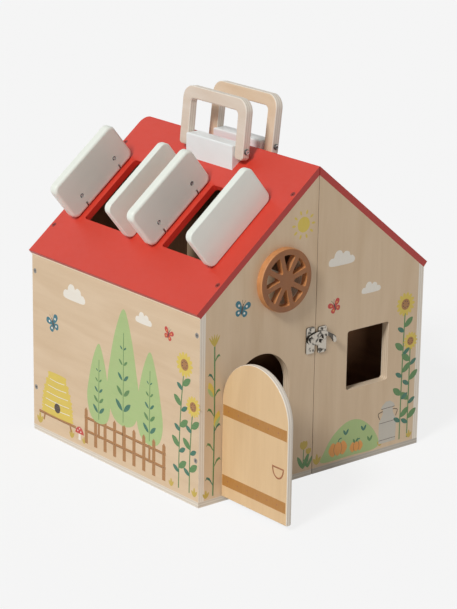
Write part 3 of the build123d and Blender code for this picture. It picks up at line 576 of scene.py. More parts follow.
class FARM_OT_hardware(Operator):
    """Zinc on the latch and hinges, and steel on the small hinge pieces"""

    bl_idname = "toy_farm.hardware"
    bl_label = "Latch and hinges"

    def execute(self, context):
        hardware = context.scene.farm_hardware
        # Painted dark reflection: the zinc's edges are darkened.
        zinc = metal("Bright zinc", hardware.zinc, roughness=0.22, edges=0.16)
        steel = metal("Screw steel", hardware.steel, roughness=0.34)
        # Painted shade: the edges of the cross nuts and button heads are almost black, for the
        # shade in the gap round them.
        metal("Nut plate", hardware.nut, roughness=0.45, metallic=0.2, edges=0.08)
        plates = ["latch_pivot_plate", "latch_keeper_plate", "latch_hook", "latch_pivot_rivet"]
        plates += ["latch_keeper_stud", "left_hinge_leaves", "right_hinge_leaves", "hinge_pins"]
        small = [f"shutter_{n}_{kind}" for n in SHUTTERS for kind in ("eye_bolts", "hinge_pins")]
        small += ["door_eye_bolts", "door_hinge_pins", "shutter_hinge_lugs", "door_hinge_lugs"]
        for nodes, material in ((plates, zinc), (small, steel)):
            for node in nodes:
                dress(node, material)
        return {"FINISHED"}


def linked(name, mesh):
    """A new object in the scene."""
    obj = bpy.data.objects.new(name, mesh)
    bpy.context.scene.collection.objects.link(obj)
    return obj


def new_piece(name, mesh, body, slot, *nodes):
    """Finished piece at the origin that rides on its body and may take the place of nodes."""
    mesh.name = name
    obj = linked(name, mesh)
    if nodes:
        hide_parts(*nodes)
    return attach(obj, body)


def grown(places, edges, tree, inputs, attributes):
    """Mesh that a node tree grows on points, edges and their attributes."""
    mesh = bpy.data.meshes.new("seed")
    mesh.from_pydata(places, edges, [])
    for name, values in attributes.items():
        single = np.ndim(values) == 1
        kind, field = ("FLOAT", "value") if single else ("FLOAT_VECTOR", "vector")
        layer = mesh.attributes.new(name, kind, "POINT")
        layer.data.foreach_set(field, np.array(values, np.float32).ravel())
    obj = linked("seed", mesh)
    modifier = obj.modifiers.new("Grow", "NODES")
    modifier.node_group = tree
    for socket in tree.interface.items_tree:
        if socket.in_out == "INPUT" and socket.name in inputs:
            modifier[socket.identifier] = inputs[socket.name]
    obj.update_tag()
    seen = obj.evaluated_get(bpy.context.evaluated_depsgraph_get())
    made = bpy.data.meshes.new_from_object(seen)
    bpy.data.objects.remove(obj)
    bpy.data.meshes.remove(mesh)
    return made


SOLID = {"Geometry": "Geometry"}


def solid_tree(name, inputs):
    """A geometry tree that takes points or edges, these inputs and a material."""
    return new_tree(name, "GeometryNodeTree", SOLID | inputs | {"Material": "Material"}, SOLID)


def end_tree(graph, given, geometry):
    """Ends a tree in plain geometry with its material."""
    real = graph.out("GeometryNodeRealizeInstances", {"Geometry": geometry})
    sockets = {"Geometry": real, "Material": given["Material"]}
    graph.add("NodeGroupOutput", {"Geometry": graph.out("GeometryNodeSetMaterial", sockets)})


def moved(graph, geometry, place=(0, 0, 0), turn=(0, 0, 0)):
    sockets = {"Geometry": geometry, "Translation": place, "Rotation": turn}
    return graph.out("GeometryNodeTransform", sockets)


def lowered(graph, geometry, depth, part=1.0):
    """A solid moved down by a part of a depth."""
    return moved(graph, geometry, graph.vector(z=graph.times(depth, -part)))


def drum(graph, radius, height, sides):
    """Cylinder with its top face at zero."""
    sockets = {"Vertices": sides, "Radius": radius, "Depth": height}
    return lowered(graph, graph.out("GeometryNodeMeshCylinder", sockets), height, 0.5)


def cone(graph, top, bottom, height, sides):
    """Cut cone with its top face at zero."""
    sockets = {"Vertices": sides, "Radius Top": top, "Radius Bottom": bottom, "Depth": height}
    return lowered(graph, graph.out("GeometryNodeMeshCone", sockets), height)


def bar(graph, long, wide, deep, turn):
    """Cutter for a slot, centred on the surface."""
    size = graph.vector(long, wide, graph.times(deep, 2.0))
    return moved(graph, graph.out("GeometryNodeMeshCube", {"Size": size}), turn=(0, 0, turn))


def end_screw(graph, given, solids, cutters):
    """Joins solids, cuts the recess and sets one screw on every point, along its axis."""
    whole = graph.out("GeometryNodeMeshBoolean", {"Mesh 2": solids}, operation="UNION")
    sockets = {"Mesh 1": whole, "Mesh 2": cutters}
    screw = graph.out("GeometryNodeMeshBoolean", sockets, operation="DIFFERENCE")
    axis = graph.attribute("axis", "FLOAT_VECTOR")
    turn = graph.out("FunctionNodeAlignRotationToVector", {"Vector": axis}, axis="Z")
    sockets = {"Points": given["Geometry"], "Instance": screw, "Rotation": turn}
    end_tree(graph, given, graph.out("GeometryNodeInstanceOnPoints", sockets))


SCREW = dict.fromkeys(("Head", "Shank", "Length", "Recess", "Recess depth"), "Float")

# Part of a full radius or step that a joined solid keeps, so that no two faces coincide.
LAP = 0.98


def screw_tree(name):
    """A geometry tree for screws, its Graph, what it is given, and the five sizes in that."""
    tree, graph, given = solid_tree(name, SCREW)
    return tree, graph, given, [given[size] for size in SCREW]


def make_countersunk_tree():
    """Countersunk screws with a cross recess."""
    tree, graph, given, (head, shank, tall, wide, deep) = screw_tree("Countersunk screws")
    taper = graph.maths("SUBTRACT", head, shank)
    rod = drum(graph, graph.times(shank, LAP), graph.times(taper, -0.5, tall), 16)
    solids = [cone(graph, head, shank, taper, 32), lowered(graph, rod, taper, 0.5)]
    long = graph.times(head, 1.05)
    cross = [bar(graph, long, wide, deep, turn) for turn in (0.5, 0.5 + math.pi / 2)]
    end_screw(graph, given, solids, cross)
    return tree


def make_button_tree(rise=2.2 * MM):
    """Low round heads of one height with a hexagonal recess, on their shanks."""
    tree, graph, given, (head, shank, tall, wide, deep) = screw_tree("Button screws")
    half = rise / 2
    dome = cone(graph, graph.times(head, 0.72), head, half, 32)
    rim = lowered(graph, drum(graph, head, half, 32), half, LAP)
    rod = drum(graph, shank, graph.maths("SUBTRACT", tall, half), 20)
    hexagon = drum(graph, wide, graph.times(deep, 2.0), 6)
    cutter = moved(graph, hexagon, graph.vector(z=deep))
    end_screw(graph, given, [dome, rim, lowered(graph, rod, half)], [cutter])
    return tree


def make_nut_tree():
    """Round cross nuts with a wide bevel round a slotted face."""
    tree, graph, given, (head, shank, tall, wide, deep) = screw_tree("Slotted nuts")
    bevel = graph.maths("SUBTRACT", head, shank)
    body = drum(graph, head, graph.maths("SUBTRACT", tall, bevel), 40)
    solids = [cone(graph, shank, head, bevel, 40), lowered(graph, body, bevel, LAP)]
    end_screw(graph, given, solids, [bar(graph, graph.times(head, 2.2), wide, deep, 0.7)])
    return tree


def islands(node):
    """Corner places of each separate solid in a CAD node, as arrays."""
    mesh = bmesh.new()
    mesh.from_mesh(NODES[node].data)
    bmesh.ops.remove_doubles(mesh, verts=mesh.verts, dist=1e-6)
    mesh.verts.ensure_lookup_table()
    left, found = set(mesh.verts), []
    for start in mesh.verts:
        if start not in left:
            continue
        left.discard(start)
        reached, edge = [start], [start]
        while edge:
            vert = edge.pop()
            for other in (link.other_vert(vert) for link in vert.link_edges):
                if other in left:
                    left.discard(other)
                    reached.append(other)
                    edge.append(other)
        found.append(np.array([tuple(vert.co) for vert in reached]))
    mesh.free()
    return found


def head_places(node, axis=None):
    """Where each screw's head is and which way it faces, read from the CAD solids."""
    places, axes = [], []
    for corners in islands(node):
        centre = (corners.max(0) + corners.min(0)) / 2
        if axis is None:
            spread = np.linalg.svd(corners - corners.mean(0), full_matrices=False)[2][0]
            along = (corners - centre) @ spread
            radius = np.linalg.norm(corners - centre - np.outer(along, spread), axis=1)
            widest = radius > 0.98 * radius.max()
            out = spread * np.sign(along[widest].mean())
        else:
            out = np.array(axis)
        places.append(tuple(centre + out * ((corners - centre) @ out).max()))
        axes.append(tuple(out))
    return places, axes


class FARM_OT_screws(Operator):
    """Screws and cross nuts with their driver recesses"""

    bl_idname = "toy_farm.screws"
    bl_label = "Screws and nuts"

    def execute(self, context):
        hardware, materials = context.scene.farm_hardware, bpy.data.materials
        barn = ("screw_steel", barn_screws(hardware))
        steel = ("screw_steel", materials["Screw steel"])
        zinc = ("zinc_steel", materials["Bright zinc"])
        plate = ("zinc_steel", materials["Nut plate"])
        sunk, button, nut = make_countersunk_tree(), make_button_tree(), make_nut_tree()
        cross = (hardware.recess, hardware.recess_depth)
        wide_cross = (hardware.recess * 1.3, hardware.recess_depth)
        # Radius of the head, radius of the shank and length, in millimetres.
        kinds = {
            "case_screws": (sunk, (2.8, 1.2, 24.0), cross, barn),
            "block_screws": (sunk, (2.8, 1.2, 15.0), cross, steel),
            "latch_screws": (sunk, (1.9, 1.0, 6.5), wide_cross, zinc),
            "hinge_screws": (sunk, (1.9, 1.0, 6.5), wide_cross, zinc),
            "handle_screws": (button, (3.0, 2.0, 28.15), (1.4 * MM, 1.0 * MM), plate),
        }
        for half in HALVES:
            for kind, screw in kinds.items():
                self.set_out(f"{half}_{kind}", *screw)
        inner_faces = {"shutter_1": -Y, "shutter_2": Y, "shutter_3": -Y, "shutter_4": Y, "door": X}
        for name, axis in inner_faces.items():
            cut = (0.5 * MM, 0.7 * MM)
            self.set_out(f"{name}_barrel_nuts", nut, (2.4, 1.3, 5.5), cut, plate, axis)
        return {"FINISHED"}

    def set_out(self, node, tree, sizes, recess, finish, axis=None):
        """Grows the screws of one CAD node and puts them in its place."""
        places, axes = head_places(node, axis)
        slot, material = finish
        inputs = dict(zip(SCREW, [size * MM for size in sizes] + [*recess]))
        inputs["Material"] = material
        mesh = grown(places, [], tree, inputs, {"axis": axes})
        new_piece(f"{node}_dressed", mesh, NODES[node]["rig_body"], slot, node)


def make_line_tree():
    """Flat printed line of one width along smooth paths."""
    sizes = {"Width": "Float", "Thickness": "Float", "Step": "Float"}
    tree, graph, given = solid_tree("Printed lines", sizes)
    path = graph.out("GeometryNodeMeshToCurve", {"Mesh": given["Geometry"]})
    path = graph.out("GeometryNodeCurveSplineType", {"Curve": path}, spline_type="CATMULL_ROM")
    sockets = {"Curve": path, "Length": given["Step"]}
    path = graph.out("GeometryNodeResampleCurve", sockets, mode="LENGTH")
    path = graph.out("GeometryNodeSetCurveNormal", {"Curve": path}, mode="Z_UP")
    sockets = {"Width": given["Width"], "Height": given["Thickness"]}
    profile = graph.out("GeometryNodeCurvePrimitiveQuadrilateral", sockets)
    sockets = {"Curve": path, "Profile Curve": profile, "Fill Caps": True}
    end_tree(graph, given, graph.out("GeometryNodeCurveToMesh", sockets))
    return tree


def make_stamp_tree():
    """Printed stamps such as leaves and petals, one on every point."""
    tree, graph, given = solid_tree("Printed stamps", {"Stamp": "Object"})
    stamp = graph.add("GeometryNodeObjectInfo", {"Object": given["Stamp"]}).outputs["Geometry"]
    turn = graph.vector(z=graph.attribute("turn", "FLOAT"))
    size = graph.attribute("size", "FLOAT_VECTOR")
    sockets = {"Points": given["Geometry"], "Instance": stamp, "Rotation": turn, "Scale": size}
    end_tree(graph, given, graph.out("GeometryNodeInstanceOnPoints", sockets))
    return tree


def outline_of(kind, steps=14):
    """Outline of a stamp of unit length: a pointed leaf, a rounded petal or a disc."""
    points = []
    for index in range(2 * steps):
        turn = math.pi * index / steps
        along, wide = (1 - math.cos(turn)) / 2, math.sin(turn) / 2
        if kind == "leaf":
            wide *= math.sqrt(max(4 * along * (1 - along), 0)) ** 0.5
        elif kind == "petal":
            wide *= 0.35 + 0.9 * along
        elif kind == "disc":
            along -= 0.5
        points.append((along, -wide))
    return points


def prism(mesh, outline, low, high, material=0):
    """Closed flat solid on an outline that runs anticlockwise."""
    bottom = [mesh.verts.new((x, y, low)) for x, y in outline]
    top = [mesh.verts.new((x, y, high)) for x, y in outline]
    faces = [mesh.faces.new(top), mesh.faces.new(bottom[::-1])]
    for index, vert in enumerate(bottom):
        after = (index + 1) % len(bottom)
        faces.append(mesh.faces.new((vert, bottom[after], top[after], top[index])))
    for face in faces:
        face.material_index = material
        face.normal_update()


def rounded(points, steps=6):
    """Smooth closed outline through points."""
    result = []
    for index in range(len(points)):
        a, b, c, d = (Vector(points[(index + shift) % len(points)]) for shift in (-1, 0, 1, 2))
        for t in (step / steps for step in range(steps)):
            curve = 2 * b + (c - a) * t + (2 * a - 5 * b + 4 * c - d) * t * t
            result.append(tuple((curve + (3 * b - a - 3 * c + d) * t * t * t) / 2))
    return result


# How deep ink starts in the wood, the step between layers, and the step between two things.
SUNK, LAYER, HAIR = 0.02, 0.03, 0.0007

# How much of the wood's grain shows through ink.
GRAIN = 0.55


class Page:
    """A print: what is stamped, drawn and filled on one board, in millimetres."""

    def __init__(self, *motifs):
        self.stamps, self.lines, self.fills, self.things = {}, {}, [], 0
        for motif, *place in motifs:
            motif(self, *place)

    def rise(self, layer):
        """Height of the next thing's top: no two that overlap share a height."""
        self.things += 1
        return layer * LAYER + self.things % 40 * HAIR

    def stamp(self, ink, kind, x, y, turn, long, wide, layer=1):
        spots = self.stamps.setdefault((ink, kind), [])
        spots.append((x, y, math.radians(turn), long, wide, self.rise(layer)))

    def leaf(self, ink, *place):
        self.stamp(ink, "leaf", *place)

    def disc(self, ink, x, y, radius, layer=1):
        self.stamp(ink, "disc", x, y, 0, 2 * radius, 2 * radius, layer)

    def line(self, ink, points, width, layer=1):
        self.lines.setdefault((ink, width), []).append((points, self.rise(layer)))

    def fill(self, ink, points, layer=1, smooth=True):
        self.fills.append((ink, rounded(points) if smooth else points, self.rise(layer)))


def fitted(points, x, y, wide=1, high=None):
    """Points given in shares of a width and a height, at their place on the page."""
    high = wide if high is None else high
    return [(x + a * wide, y + b * high) for a, b in points]


def mirrored(points):
    """A closed outline from its right half, which runs upwards."""
    return [*points, *((-a, b) for a, b in reversed(points))]


def polar(place, turn, reach):
    """The point at this reach from a place, in a direction in degrees."""
    turn = math.radians(turn)
    return place[0] + math.cos(turn) * reach, place[1] + math.sin(turn) * reach


def sunflower(page, x, y, height, lean, head):
    """Tall stem with paired leaves and a ringed flower."""
    top = (x + lean, y + height)
    stem = ((0, 0), (0.1, 0.4), (0.5, 0.75), (1, 1))
    page.line("leaf_green", fitted(stem, x, y, lean, height), 1.5)
    pairs = max(2, int(height / 26))
    for index in range(1, pairs + 1):
        share = index / (pairs + 1)
        side = 1 if index % 2 else -1
        across, up = x + lean * share * share, y + height * share
        page.leaf("leaf_green", across, up, 90 - side * 52, 15, 7, 2)
        page.leaf("deep_green", across, up - 5, 90 + side * 58, 11, 5, 2)
    for index in range(14):
        page.stamp("yellow", "petal", *top, index * 360 / 14, head, head * 0.34, 2)
    page.disc("brown", *top, head * 0.46, 3)
    for index in range(7):
        page.disc("dark", *polar(top, index * 360 / 7, head * 0.28), head * 0.05, 4)


def poplar(page, x, y, height, wide):
    """Slim tree like a flame, with veins of small leaves."""
    page.line("brown", [(x, y), (x + 0.6, y + height * 0.4)], 3.4)
    foot, crown = y + height * 0.16, height * 0.84
    shape = [(0, 0), (0.36, 0.06), (0.5, 0.26), (0.4, 0.52), (0.24, 0.8), (0.02, 1.0)]
    shape += [(-0.22, 0.82), (-0.4, 0.55), (-0.5, 0.28), (-0.34, 0.06)]
    page.fill("light_green", fitted(shape, x, foot, wide, crown), 2)
    page.line("leaf_green", [(x, foot + 4), (x + 0.8, foot + crown * 0.8)], 0.9, 3)
    for index in range(1, 6):
        share = index / 6.5
        up, reach = foot + crown * share * 0.85, wide * 0.3 * (1.1 - share)
        ink = "deep_green" if index % 2 else "leaf_green"
        for side in (1, -1):
            page.leaf(ink, x + side * 1.2, up, 90 - side * 48, reach, reach * 0.36, 3)


def fence(page, start, end, y, height, gap):
    """Posts with pointed tops on two rails."""
    rails = (y + height * 0.35, y + height * 0.72)
    for rail in rails:
        page.line("brown", [(start - 3, rail), (end + 3, rail)], 3.2)
    post = ((-2.6, 0), (2.6, 0), (2.6, height - 3), (0, height), (-2.6, height - 3))
    count = round((end - start) / gap)
    for index in range(count + 1):
        x = start + (end - start) * index / count
        page.fill("brown", fitted(post, x, y), 2, smooth=False)
        for rail in rails:
            page.disc("dark", x, rail, 0.5, 3)


def hive(page, x, y, wide, height, bands=6):
    """Round straw hive in bands on a low bench."""
    page.line("brown", fitted(((-0.62, 0), (0.62, 0)), x, y, wide), 3.0)
    for side in (-0.42, 0.42):
        page.line("brown", [(x + wide * side, y), (x + wide * side * 1.1, y - 8)], 2.4)
    step = height / bands
    ring = ((-1, 0.5), (-0.9, 0), (0.9, 0), (1, 0.5), (0.9, 1), (-0.9, 1))
    for index in range(bands):
        half = wide / 2 * math.cos(index / bands * 1.25) ** 0.8
        low = y + 1.6 + index * step
        page.fill("yellow", fitted(ring, x, low, half, step), 2)
        if index:
            sag = ((-0.85 * half, 0), (0, -0.8), (0.85 * half, 0))
            page.line("white", fitted(sag, x, low), 0.8, 3)
    page.disc("dark", x, y + height * 0.24, wide * 0.1, 4)


def butterfly(page, x, y, size, ink, spot, turn=20):
    """Four wings, a slim body and two feelers."""
    middle, ahead = (x, y), turn + 90
    for side, long in ((40, 1.0), (140, 1.0), (-38, 0.72), (-142, 0.72)):
        page.stamp(ink, "petal", x, y, turn + side, size * long, size * 0.62, 2)
        page.disc(spot, *polar(middle, turn + side, size * 0.55 * long), size * 0.1, 3)
    page.leaf("dark", *polar(middle, ahead, -size * 0.45), ahead, size, size * 0.16, 4)
    for side in (-24, 24):
        start = polar(middle, ahead, size * 0.4)
        page.line("dark", [start, polar(start, ahead + side, size * 0.5)], 0.35)


def cloud(page, x, y, size):
    """Flat-bottomed cloud with four bumps."""
    edge = [(-1.3, -0.36), (0, -0.42), (1.25, -0.36), (1.46, -0.02), (1.2, 0.28), (0.94, 0.3)]
    edge += [(0.8, 0.62), (0.4, 0.76), (0.1, 0.6), (-0.14, 0.88), (-0.56, 0.9), (-0.84, 0.6)]
    edge += [(-0.92, 0.34), (-1.26, 0.3), (-1.5, 0)]
    page.fill("white", fitted(edge, x, y, size))


def tufts(page, y, *spots):
    """Tufts of grass in a row, each given by its place along the row and its size."""
    for x, size in spots:
        for turn, long in ((58, 0.8), (90, 1.0), (124, 0.75)):
            page.leaf("olive", x, y, turn, size * long, size * 0.3)


def tulip(page, x, y, height):
    page.line("leaf_green", [(x, y), (x + 0.8, y + height * 0.75)], 1.1)
    for turn, long in ((64, 0.62), (118, 0.55)):
        page.leaf("leaf_green", x, y, turn, height * long, height * 0.16, 2)
    for turn in (66, 114, 90):
        page.leaf("olive", x + 0.6, y + height * 0.7, turn, height * 0.32, height * 0.2, 2)


def pumpkin(page, x, y, wide):
    """Ribbed pumpkin with a curled stalk."""
    for shift in (-0.28, 0.28, 0):
        lobe = ((shift - 0.24, 0.3), (shift, 0.0), (shift + 0.24, 0.3), (shift, 0.62))
        page.fill("orange", fitted(lobe, x, y, wide), 2)
    for shift in (-0.15, 0.15):
        rib = ((shift, 0.05), (shift * 1.5, 0.31), (shift, 0.57))
        page.line("brown", fitted(rib, x, y, wide), 0.6, 3)
    stalk = [(x, y + 0.6 * wide), (x + 2, y + 0.72 * wide), (x + 5, y + 0.74 * wide)]
    page.line("deep_green", stalk, 1.2, 3)


def churn(page, x, y, height):
    """Milk churn with a lid and two ears."""
    half = height * 0.26
    body = ((1, 0), (1.05, 0.5), (0.6, 0.72), (0.6, 0.84))
    lid = ((0.85, 0.84), (0.7, 0.92), (0.25, 1.0))
    for part in (body, lid):
        page.fill("grey", fitted(mirrored(part), x, y, half, height), 2, smooth=False)
    for level, reach in ((0.84, 0.8), (0.5, 1.0), (0.08, 0.98)):
        rim = ((-reach, level), (reach, level))
        page.line("dark", fitted(rim, x, y, half, height), 0.5, 3)
    for side in (-1, 1):
        ear = ((side * 0.6, 0.78), (side * 1.15, 0.74), (side * 0.95, 0.6))
        page.line("dark", fitted(ear, x, y, half, height), 0.8, 3)


def corn(page, x, y, height, room):
    """Maize: a straight stalk, arched leaves and a cob, no wider than the room on each side."""
    page.line("leaf_green", [(x, y), (x + 0.8, y + height * 0.5), (x, y + height)], 1.7)
    count = max(4, int(height / 19))
    for index in range(count):
        side = 1 if index % 2 else -1
        root = y + height * (index + 0.6) / (count + 0.6)
        reach = room * (1.0 - 0.3 * index / count)
        path = [(0, 0, 0.7), (0.45, 0.75, 1.5), (0.8, 0.95, 1.2), (1.0, 0.7, 0.1)]
        upper = [(x + side * a * reach, root + b * reach + w) for a, b, w in path]
        lower = [(x + side * a * reach, root + b * reach - w) for a, b, w in reversed(path)]
        ink = "leaf_green" if index % 3 else "deep_green"
        page.fill(ink, (upper + lower)[::-side], 2, smooth=False)
    for share, side in ((0.46, 1), (0.66, -1)):
        base = (x + side * 1.2, y + height * share)
        page.leaf("yellow", *base, 90 - side * 18, 17, 6.5, 3)
        page.leaf("light_green", *base, 90 - side * 34, 12, 3.6, 4)
    for turn in (60, 76, 92, 108, 124):
        page.leaf("olive", x, y + height - 2, turn, 13, 2.0)


def sun(page, x, y, radius):
    for turn in range(0, 360, 36):
        ray = polar((x, y), turn, radius * 1.3)
        page.leaf("yellow", *ray, turn, radius * 0.62, radius * 0.3)
    page.disc("yellow", x, y, radius)


def mushroom(page, x, y, size):
    stem = mirrored(((0.14, 0), (0.1, 0.6)))
    page.fill("white", fitted(stem, x, y, size), 2, smooth=False)
    cap = [(-0.5, 0.5), (-0.3, 0.46), (0.3, 0.46), (0.5, 0.5), (0.32, 0.84), (0, 0.98)]
    page.fill("red", fitted(cap + [(-0.32, 0.84)], x, y, size), 3)
    for spot in fitted(((-0.2, 0.66), (0.16, 0.62), (0.02, 0.84)), x, y, size):
        page.disc("white", *spot, size * 0.055, 4)


def hill(page, start, end, y, height):
    """Low green mound with rows of small leaves."""
    shape = [(0, 0), (0.5, -0.02), (1, 0), (0.94, 0.5), (0.7, 0.93), (0.45, 1), (0.2, 0.72)]
    shape += [(0.04, 0.3)]
    page.fill("light_green", fitted(shape, start, y, end - start, height))
    tips = ((0.24, 0.3), (0.42, 0.62), (0.6, 0.28), (0.74, 0.6), (0.86, 0.24))
    for index, spot in enumerate(fitted(tips, start, y, end - start, height)):
        for turn in (60, 120):
            page.leaf("deep_green" if index % 2 else "leaf_green", *spot, turn, 7, 2.8, 2)


# Each motif has its place, in millimetres along and up its board, and then its sizes.
LEFT_WALL = (
    (poplar, 18, 26, 150, 54),
    (poplar, 62, 24, 118, 44),
    (poplar, -24, 24, 104, 40),
    (fence, -46, 86, 12, 40, 16.5),
    (hive, -98, 24, 54, 48),
    (sunflower, 110, 12, 132, 8, 13),
    (sunflower, 127, 12, 92, 5, 11),
    (butterfly, -104, 128, 13, "teal", "white", 24),
    (butterfly, 92, 168, 9, "red", "orange", -18),
    (cloud, -66, 168, 13),
    (cloud, 52, 172, 9),
    (mushroom, -58, 12, 15),
    (tufts, 10, (-130, 13), (-72, 10), (-50, 8), (98, 9), (135, 10)),
)
LEFT_GABLE = (
    (corn, -131, 9, 158, 10),
    (butterfly, -97, 196, 12, "teal", "white", -14),
    (sun, -19, 270, 8),
    (tulip, -12, 9, 30),
    (tulip, -5.5, 9, 21),
    (tufts, 8, (-140, 9)),
)
RIGHT_GABLE = (
    (hill, 14, 92, 9, 38),
    (pumpkin, 36, 12, 25),
    (pumpkin, 62, 11, 18),
    (churn, 106, 11, 46),
    (sunflower, 124, 10, 150, 2, 13),
    (sunflower, 135, 10, 108, 0, 10),
    (cloud, 34, 224, 12),
    (butterfly, 26, 176, 10, "red", "orange", 22),
    (cloud, 76, 186, 9),
    (tufts, 9, (7, 12), (96, 9), (138, 9)),
)
RIGHT_WALL = (
    (hill, -132, -20, 10, 66),
    (fence, -8, 96, 12, 40, 17.3),
    (sunflower, 116, 12, 120, -5, 13),
    (poplar, -96, 58, 112, 42),
    (poplar, -52, 66, 88, 34),
    (churn, 30, 54, 44),
    (cloud, 16, 164, 13),
    (butterfly, 76, 128, 12, "teal", "white", 16),
    (pumpkin, -38, 12, 24),
    (tufts, 10, (-10, 10), (104, 9), (134, 11)),
)


def back_gable(side, ink):
    """Motifs for a back gable: side is 1 where its wall is on the right of the page."""
    return (
        (corn, side * 128, 9, 150, 12),
        (sunflower, side * 96, 9, 96, side * 5, 12),
        (hill, *sorted((side * 26, side * 84)), 9, 34),
        (cloud, side * 66, 190, 12),
        (butterfly, side * 60, 130, 11, ink, "white", 12),
        (tufts, 9, (side * 138, 9)),
    )


def strap(page, low, high):
    """Painted strap with nails, out from the door's hinge edge."""
    page.fill("strap", [(1.6, low), (97.4, low), (97.4, high), (1.6, high)], 1, smooth=False)
    for index in range(6):
        page.disc("outline", 10 + index * 15, (low + high) / 2, 0.9, 2)


def pull(page, x, y, reach, drop):
    """Outline of a handle: half an oval under a bar."""
    turns = [math.pi * (1 + index / 10) for index in range(11)]
    bow = [(x + reach * math.cos(turn), y + drop * math.sin(turn)) for turn in turns]
    page.line("outline", bow, 1.7)
    page.line("outline", [(x - reach - 0.85, y), (x + reach + 0.85, y)], 1.7)


DOOR = ((strap, 93.0, 104.3), (strap, 19.0, 30.5), (pull, 85.4, 63.2, 7.9, 10.8))


class Printer:
    """Turns pages into thin inked pieces on their boards."""

    def __init__(self):
        self.line_tree, self.stamp_tree = make_line_tree(), make_stamp_tree()
        self.stamps = {kind: self.make_stamp(kind) for kind in ("leaf", "petal", "disc")}

    def make_stamp(self, kind):
        mesh, data = bmesh.new(), bpy.data.meshes.new(kind)
        prism(mesh, outline_of(kind), 0, 1)
        mesh.to_mesh(data)
        mesh.free()
        return linked(kind, data)

    def put_away(self):
        for obj in self.stamps.values():
            data = obj.data
            bpy.data.objects.remove(obj)
            bpy.data.meshes.remove(data)

    def ink(self, finish, tone, pale, tan):
        """Ink on wood: the grain shows through as it does in a print."""
        wood, relief = finish.veneer(pale, tan)
        grainy = finish.mix(GRAIN, (1, 1, 1, 1), wood, "MULTIPLY")
        balance = tuple(1 / (1 - GRAIN + GRAIN * part) for part in pale[:3]) + (1,)
        lift = finish.mix(1.0, grainy, balance, "MULTIPLY")
        thin = finish.spread(finish.fine(9, 1.1), 0.35, 0.75, 0.0, 0.1)
        solid = finish.mix(1.0, tone, lift, "MULTIPLY")
        return finish.close(finish.mix(thin, solid, wood), relief, roughness=0.5)

    def print_page(self, name, motifs, origin, right, grain, body, slot, veneer):
        """One piece for an upright page, with a material for each ink that it uses."""
        page, normal = Page(*motifs), right.cross(Z)
        used = [*page.stamps, *page.lines, *page.fills]
        inks = sorted({ink for ink, *_ in used})
        whole = bmesh.new()
        for (ink, kind), spots in sorted(page.stamps.items()):
            places = [(x, y, -SUNK) for x, y, *_ in spots]
            turns = [turn for _, _, turn, *_ in spots]
            sizes = [(long, wide, rise + SUNK) for *_, long, wide, rise in spots]
            inputs, attributes = {"Stamp": self.stamps[kind]}, {"turn": turns, "size": sizes}
            made = grown(places, [], self.stamp_tree, inputs, attributes)
            self.gather(whole, made, inks.index(ink))
        for (ink, width), paths in sorted(page.lines.items()):
            places, edges = [], []
            for path, rise in paths:
                first = len(places)
                places += [(x, y, rise - LAYER) for x, y in path]
                edges += [(index, index + 1) for index in range(first, len(places) - 1)]
            inputs = {"Width": width, "Thickness": 2 * LAYER, "Step": 1.5}
            self.gather(whole, grown(places, edges, self.line_tree, inputs, {}), inks.index(ink))
        for ink, outline, rise in page.fills:
            prism(whole, outline, -SUNK, rise, inks.index(ink))
        large = [face for face in whole.faces if len(face.verts) > 4]
        bmesh.ops.triangulate(whole, faces=large, ngon_method="EAR_CLIP")
        bmesh.ops.recalc_face_normals(whole, faces=whole.faces)
        mesh = bpy.data.meshes.new(name)
        whole.to_mesh(mesh)
        whole.free()
        board = Matrix.Translation(origin) @ Matrix((right, Z, normal)).transposed().to_4x4()
        mesh.transform(board @ Matrix.Scale(MM, 4))
        for ink in inks:
            finish = Finish(f"{name} {ink}", normal, grain, origin)
            tone = getattr(bpy.context.scene.farm_ink, ink)
            mesh.materials.append(self.ink(finish, tone, *veneer))
        new_piece(name, mesh, body, slot)

    def gather(self, whole, mesh, material):
        """Adds a grown mesh to the whole page."""
        before = len(whole.faces)
        whole.from_mesh(mesh)
        whole.faces.ensure_lookup_table()
        for face in whole.faces[before:]:
            face.material_index = material
        bpy.data.meshes.remove(mesh)


class FARM_OT_prints(Operator):
    """Farmyard prints on the walls and the painted door straps"""

    bl_idname = "toy_farm.prints"
    bl_label = "Prints"

    def execute(self, context):
        wood, printer = context.scene.farm_wood, Printer()
        left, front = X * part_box("left_side_wall")[0].x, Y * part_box("left_front_gable")[0].y
        right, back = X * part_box("right_side_wall")[1].x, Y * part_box("left_back_gable")[1].y
        left_back, right_back = back_gable(1, "red"), back_gable(-1, "teal")
        # The motifs, the page's zero, its right direction, its grain and its body.
        walls = {
            "left_wall_print": (LEFT_WALL, left, -Y, Y, "left_half"),
            "left_gable_print": (LEFT_GABLE, front, X, Z, "left_half"),
            "right_gable_print": (RIGHT_GABLE, front, X, Z, "right_half"),
            "right_wall_print": (RIGHT_WALL, right, Y, Y, "right_half"),
            "left_back_print": (left_back, back, -X, Z, "left_half"),
            "right_back_print": (right_back, back, -X, Z, "right_half"),
        }
        for name, board in walls.items():
            printer.print_page(name, *board, "birch_ply", (wood.pale, wood.tan))
        low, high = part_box("door")
        hinge, veneer = Vector((low.x, high.y, 0)), (wood.door_pale, wood.door_tan)
        printer.print_page("door_paint", DOOR, hinge, -Y, Z, "door", "door_ply", veneer)
        printer.put_away()
        return {"FINISHED"}


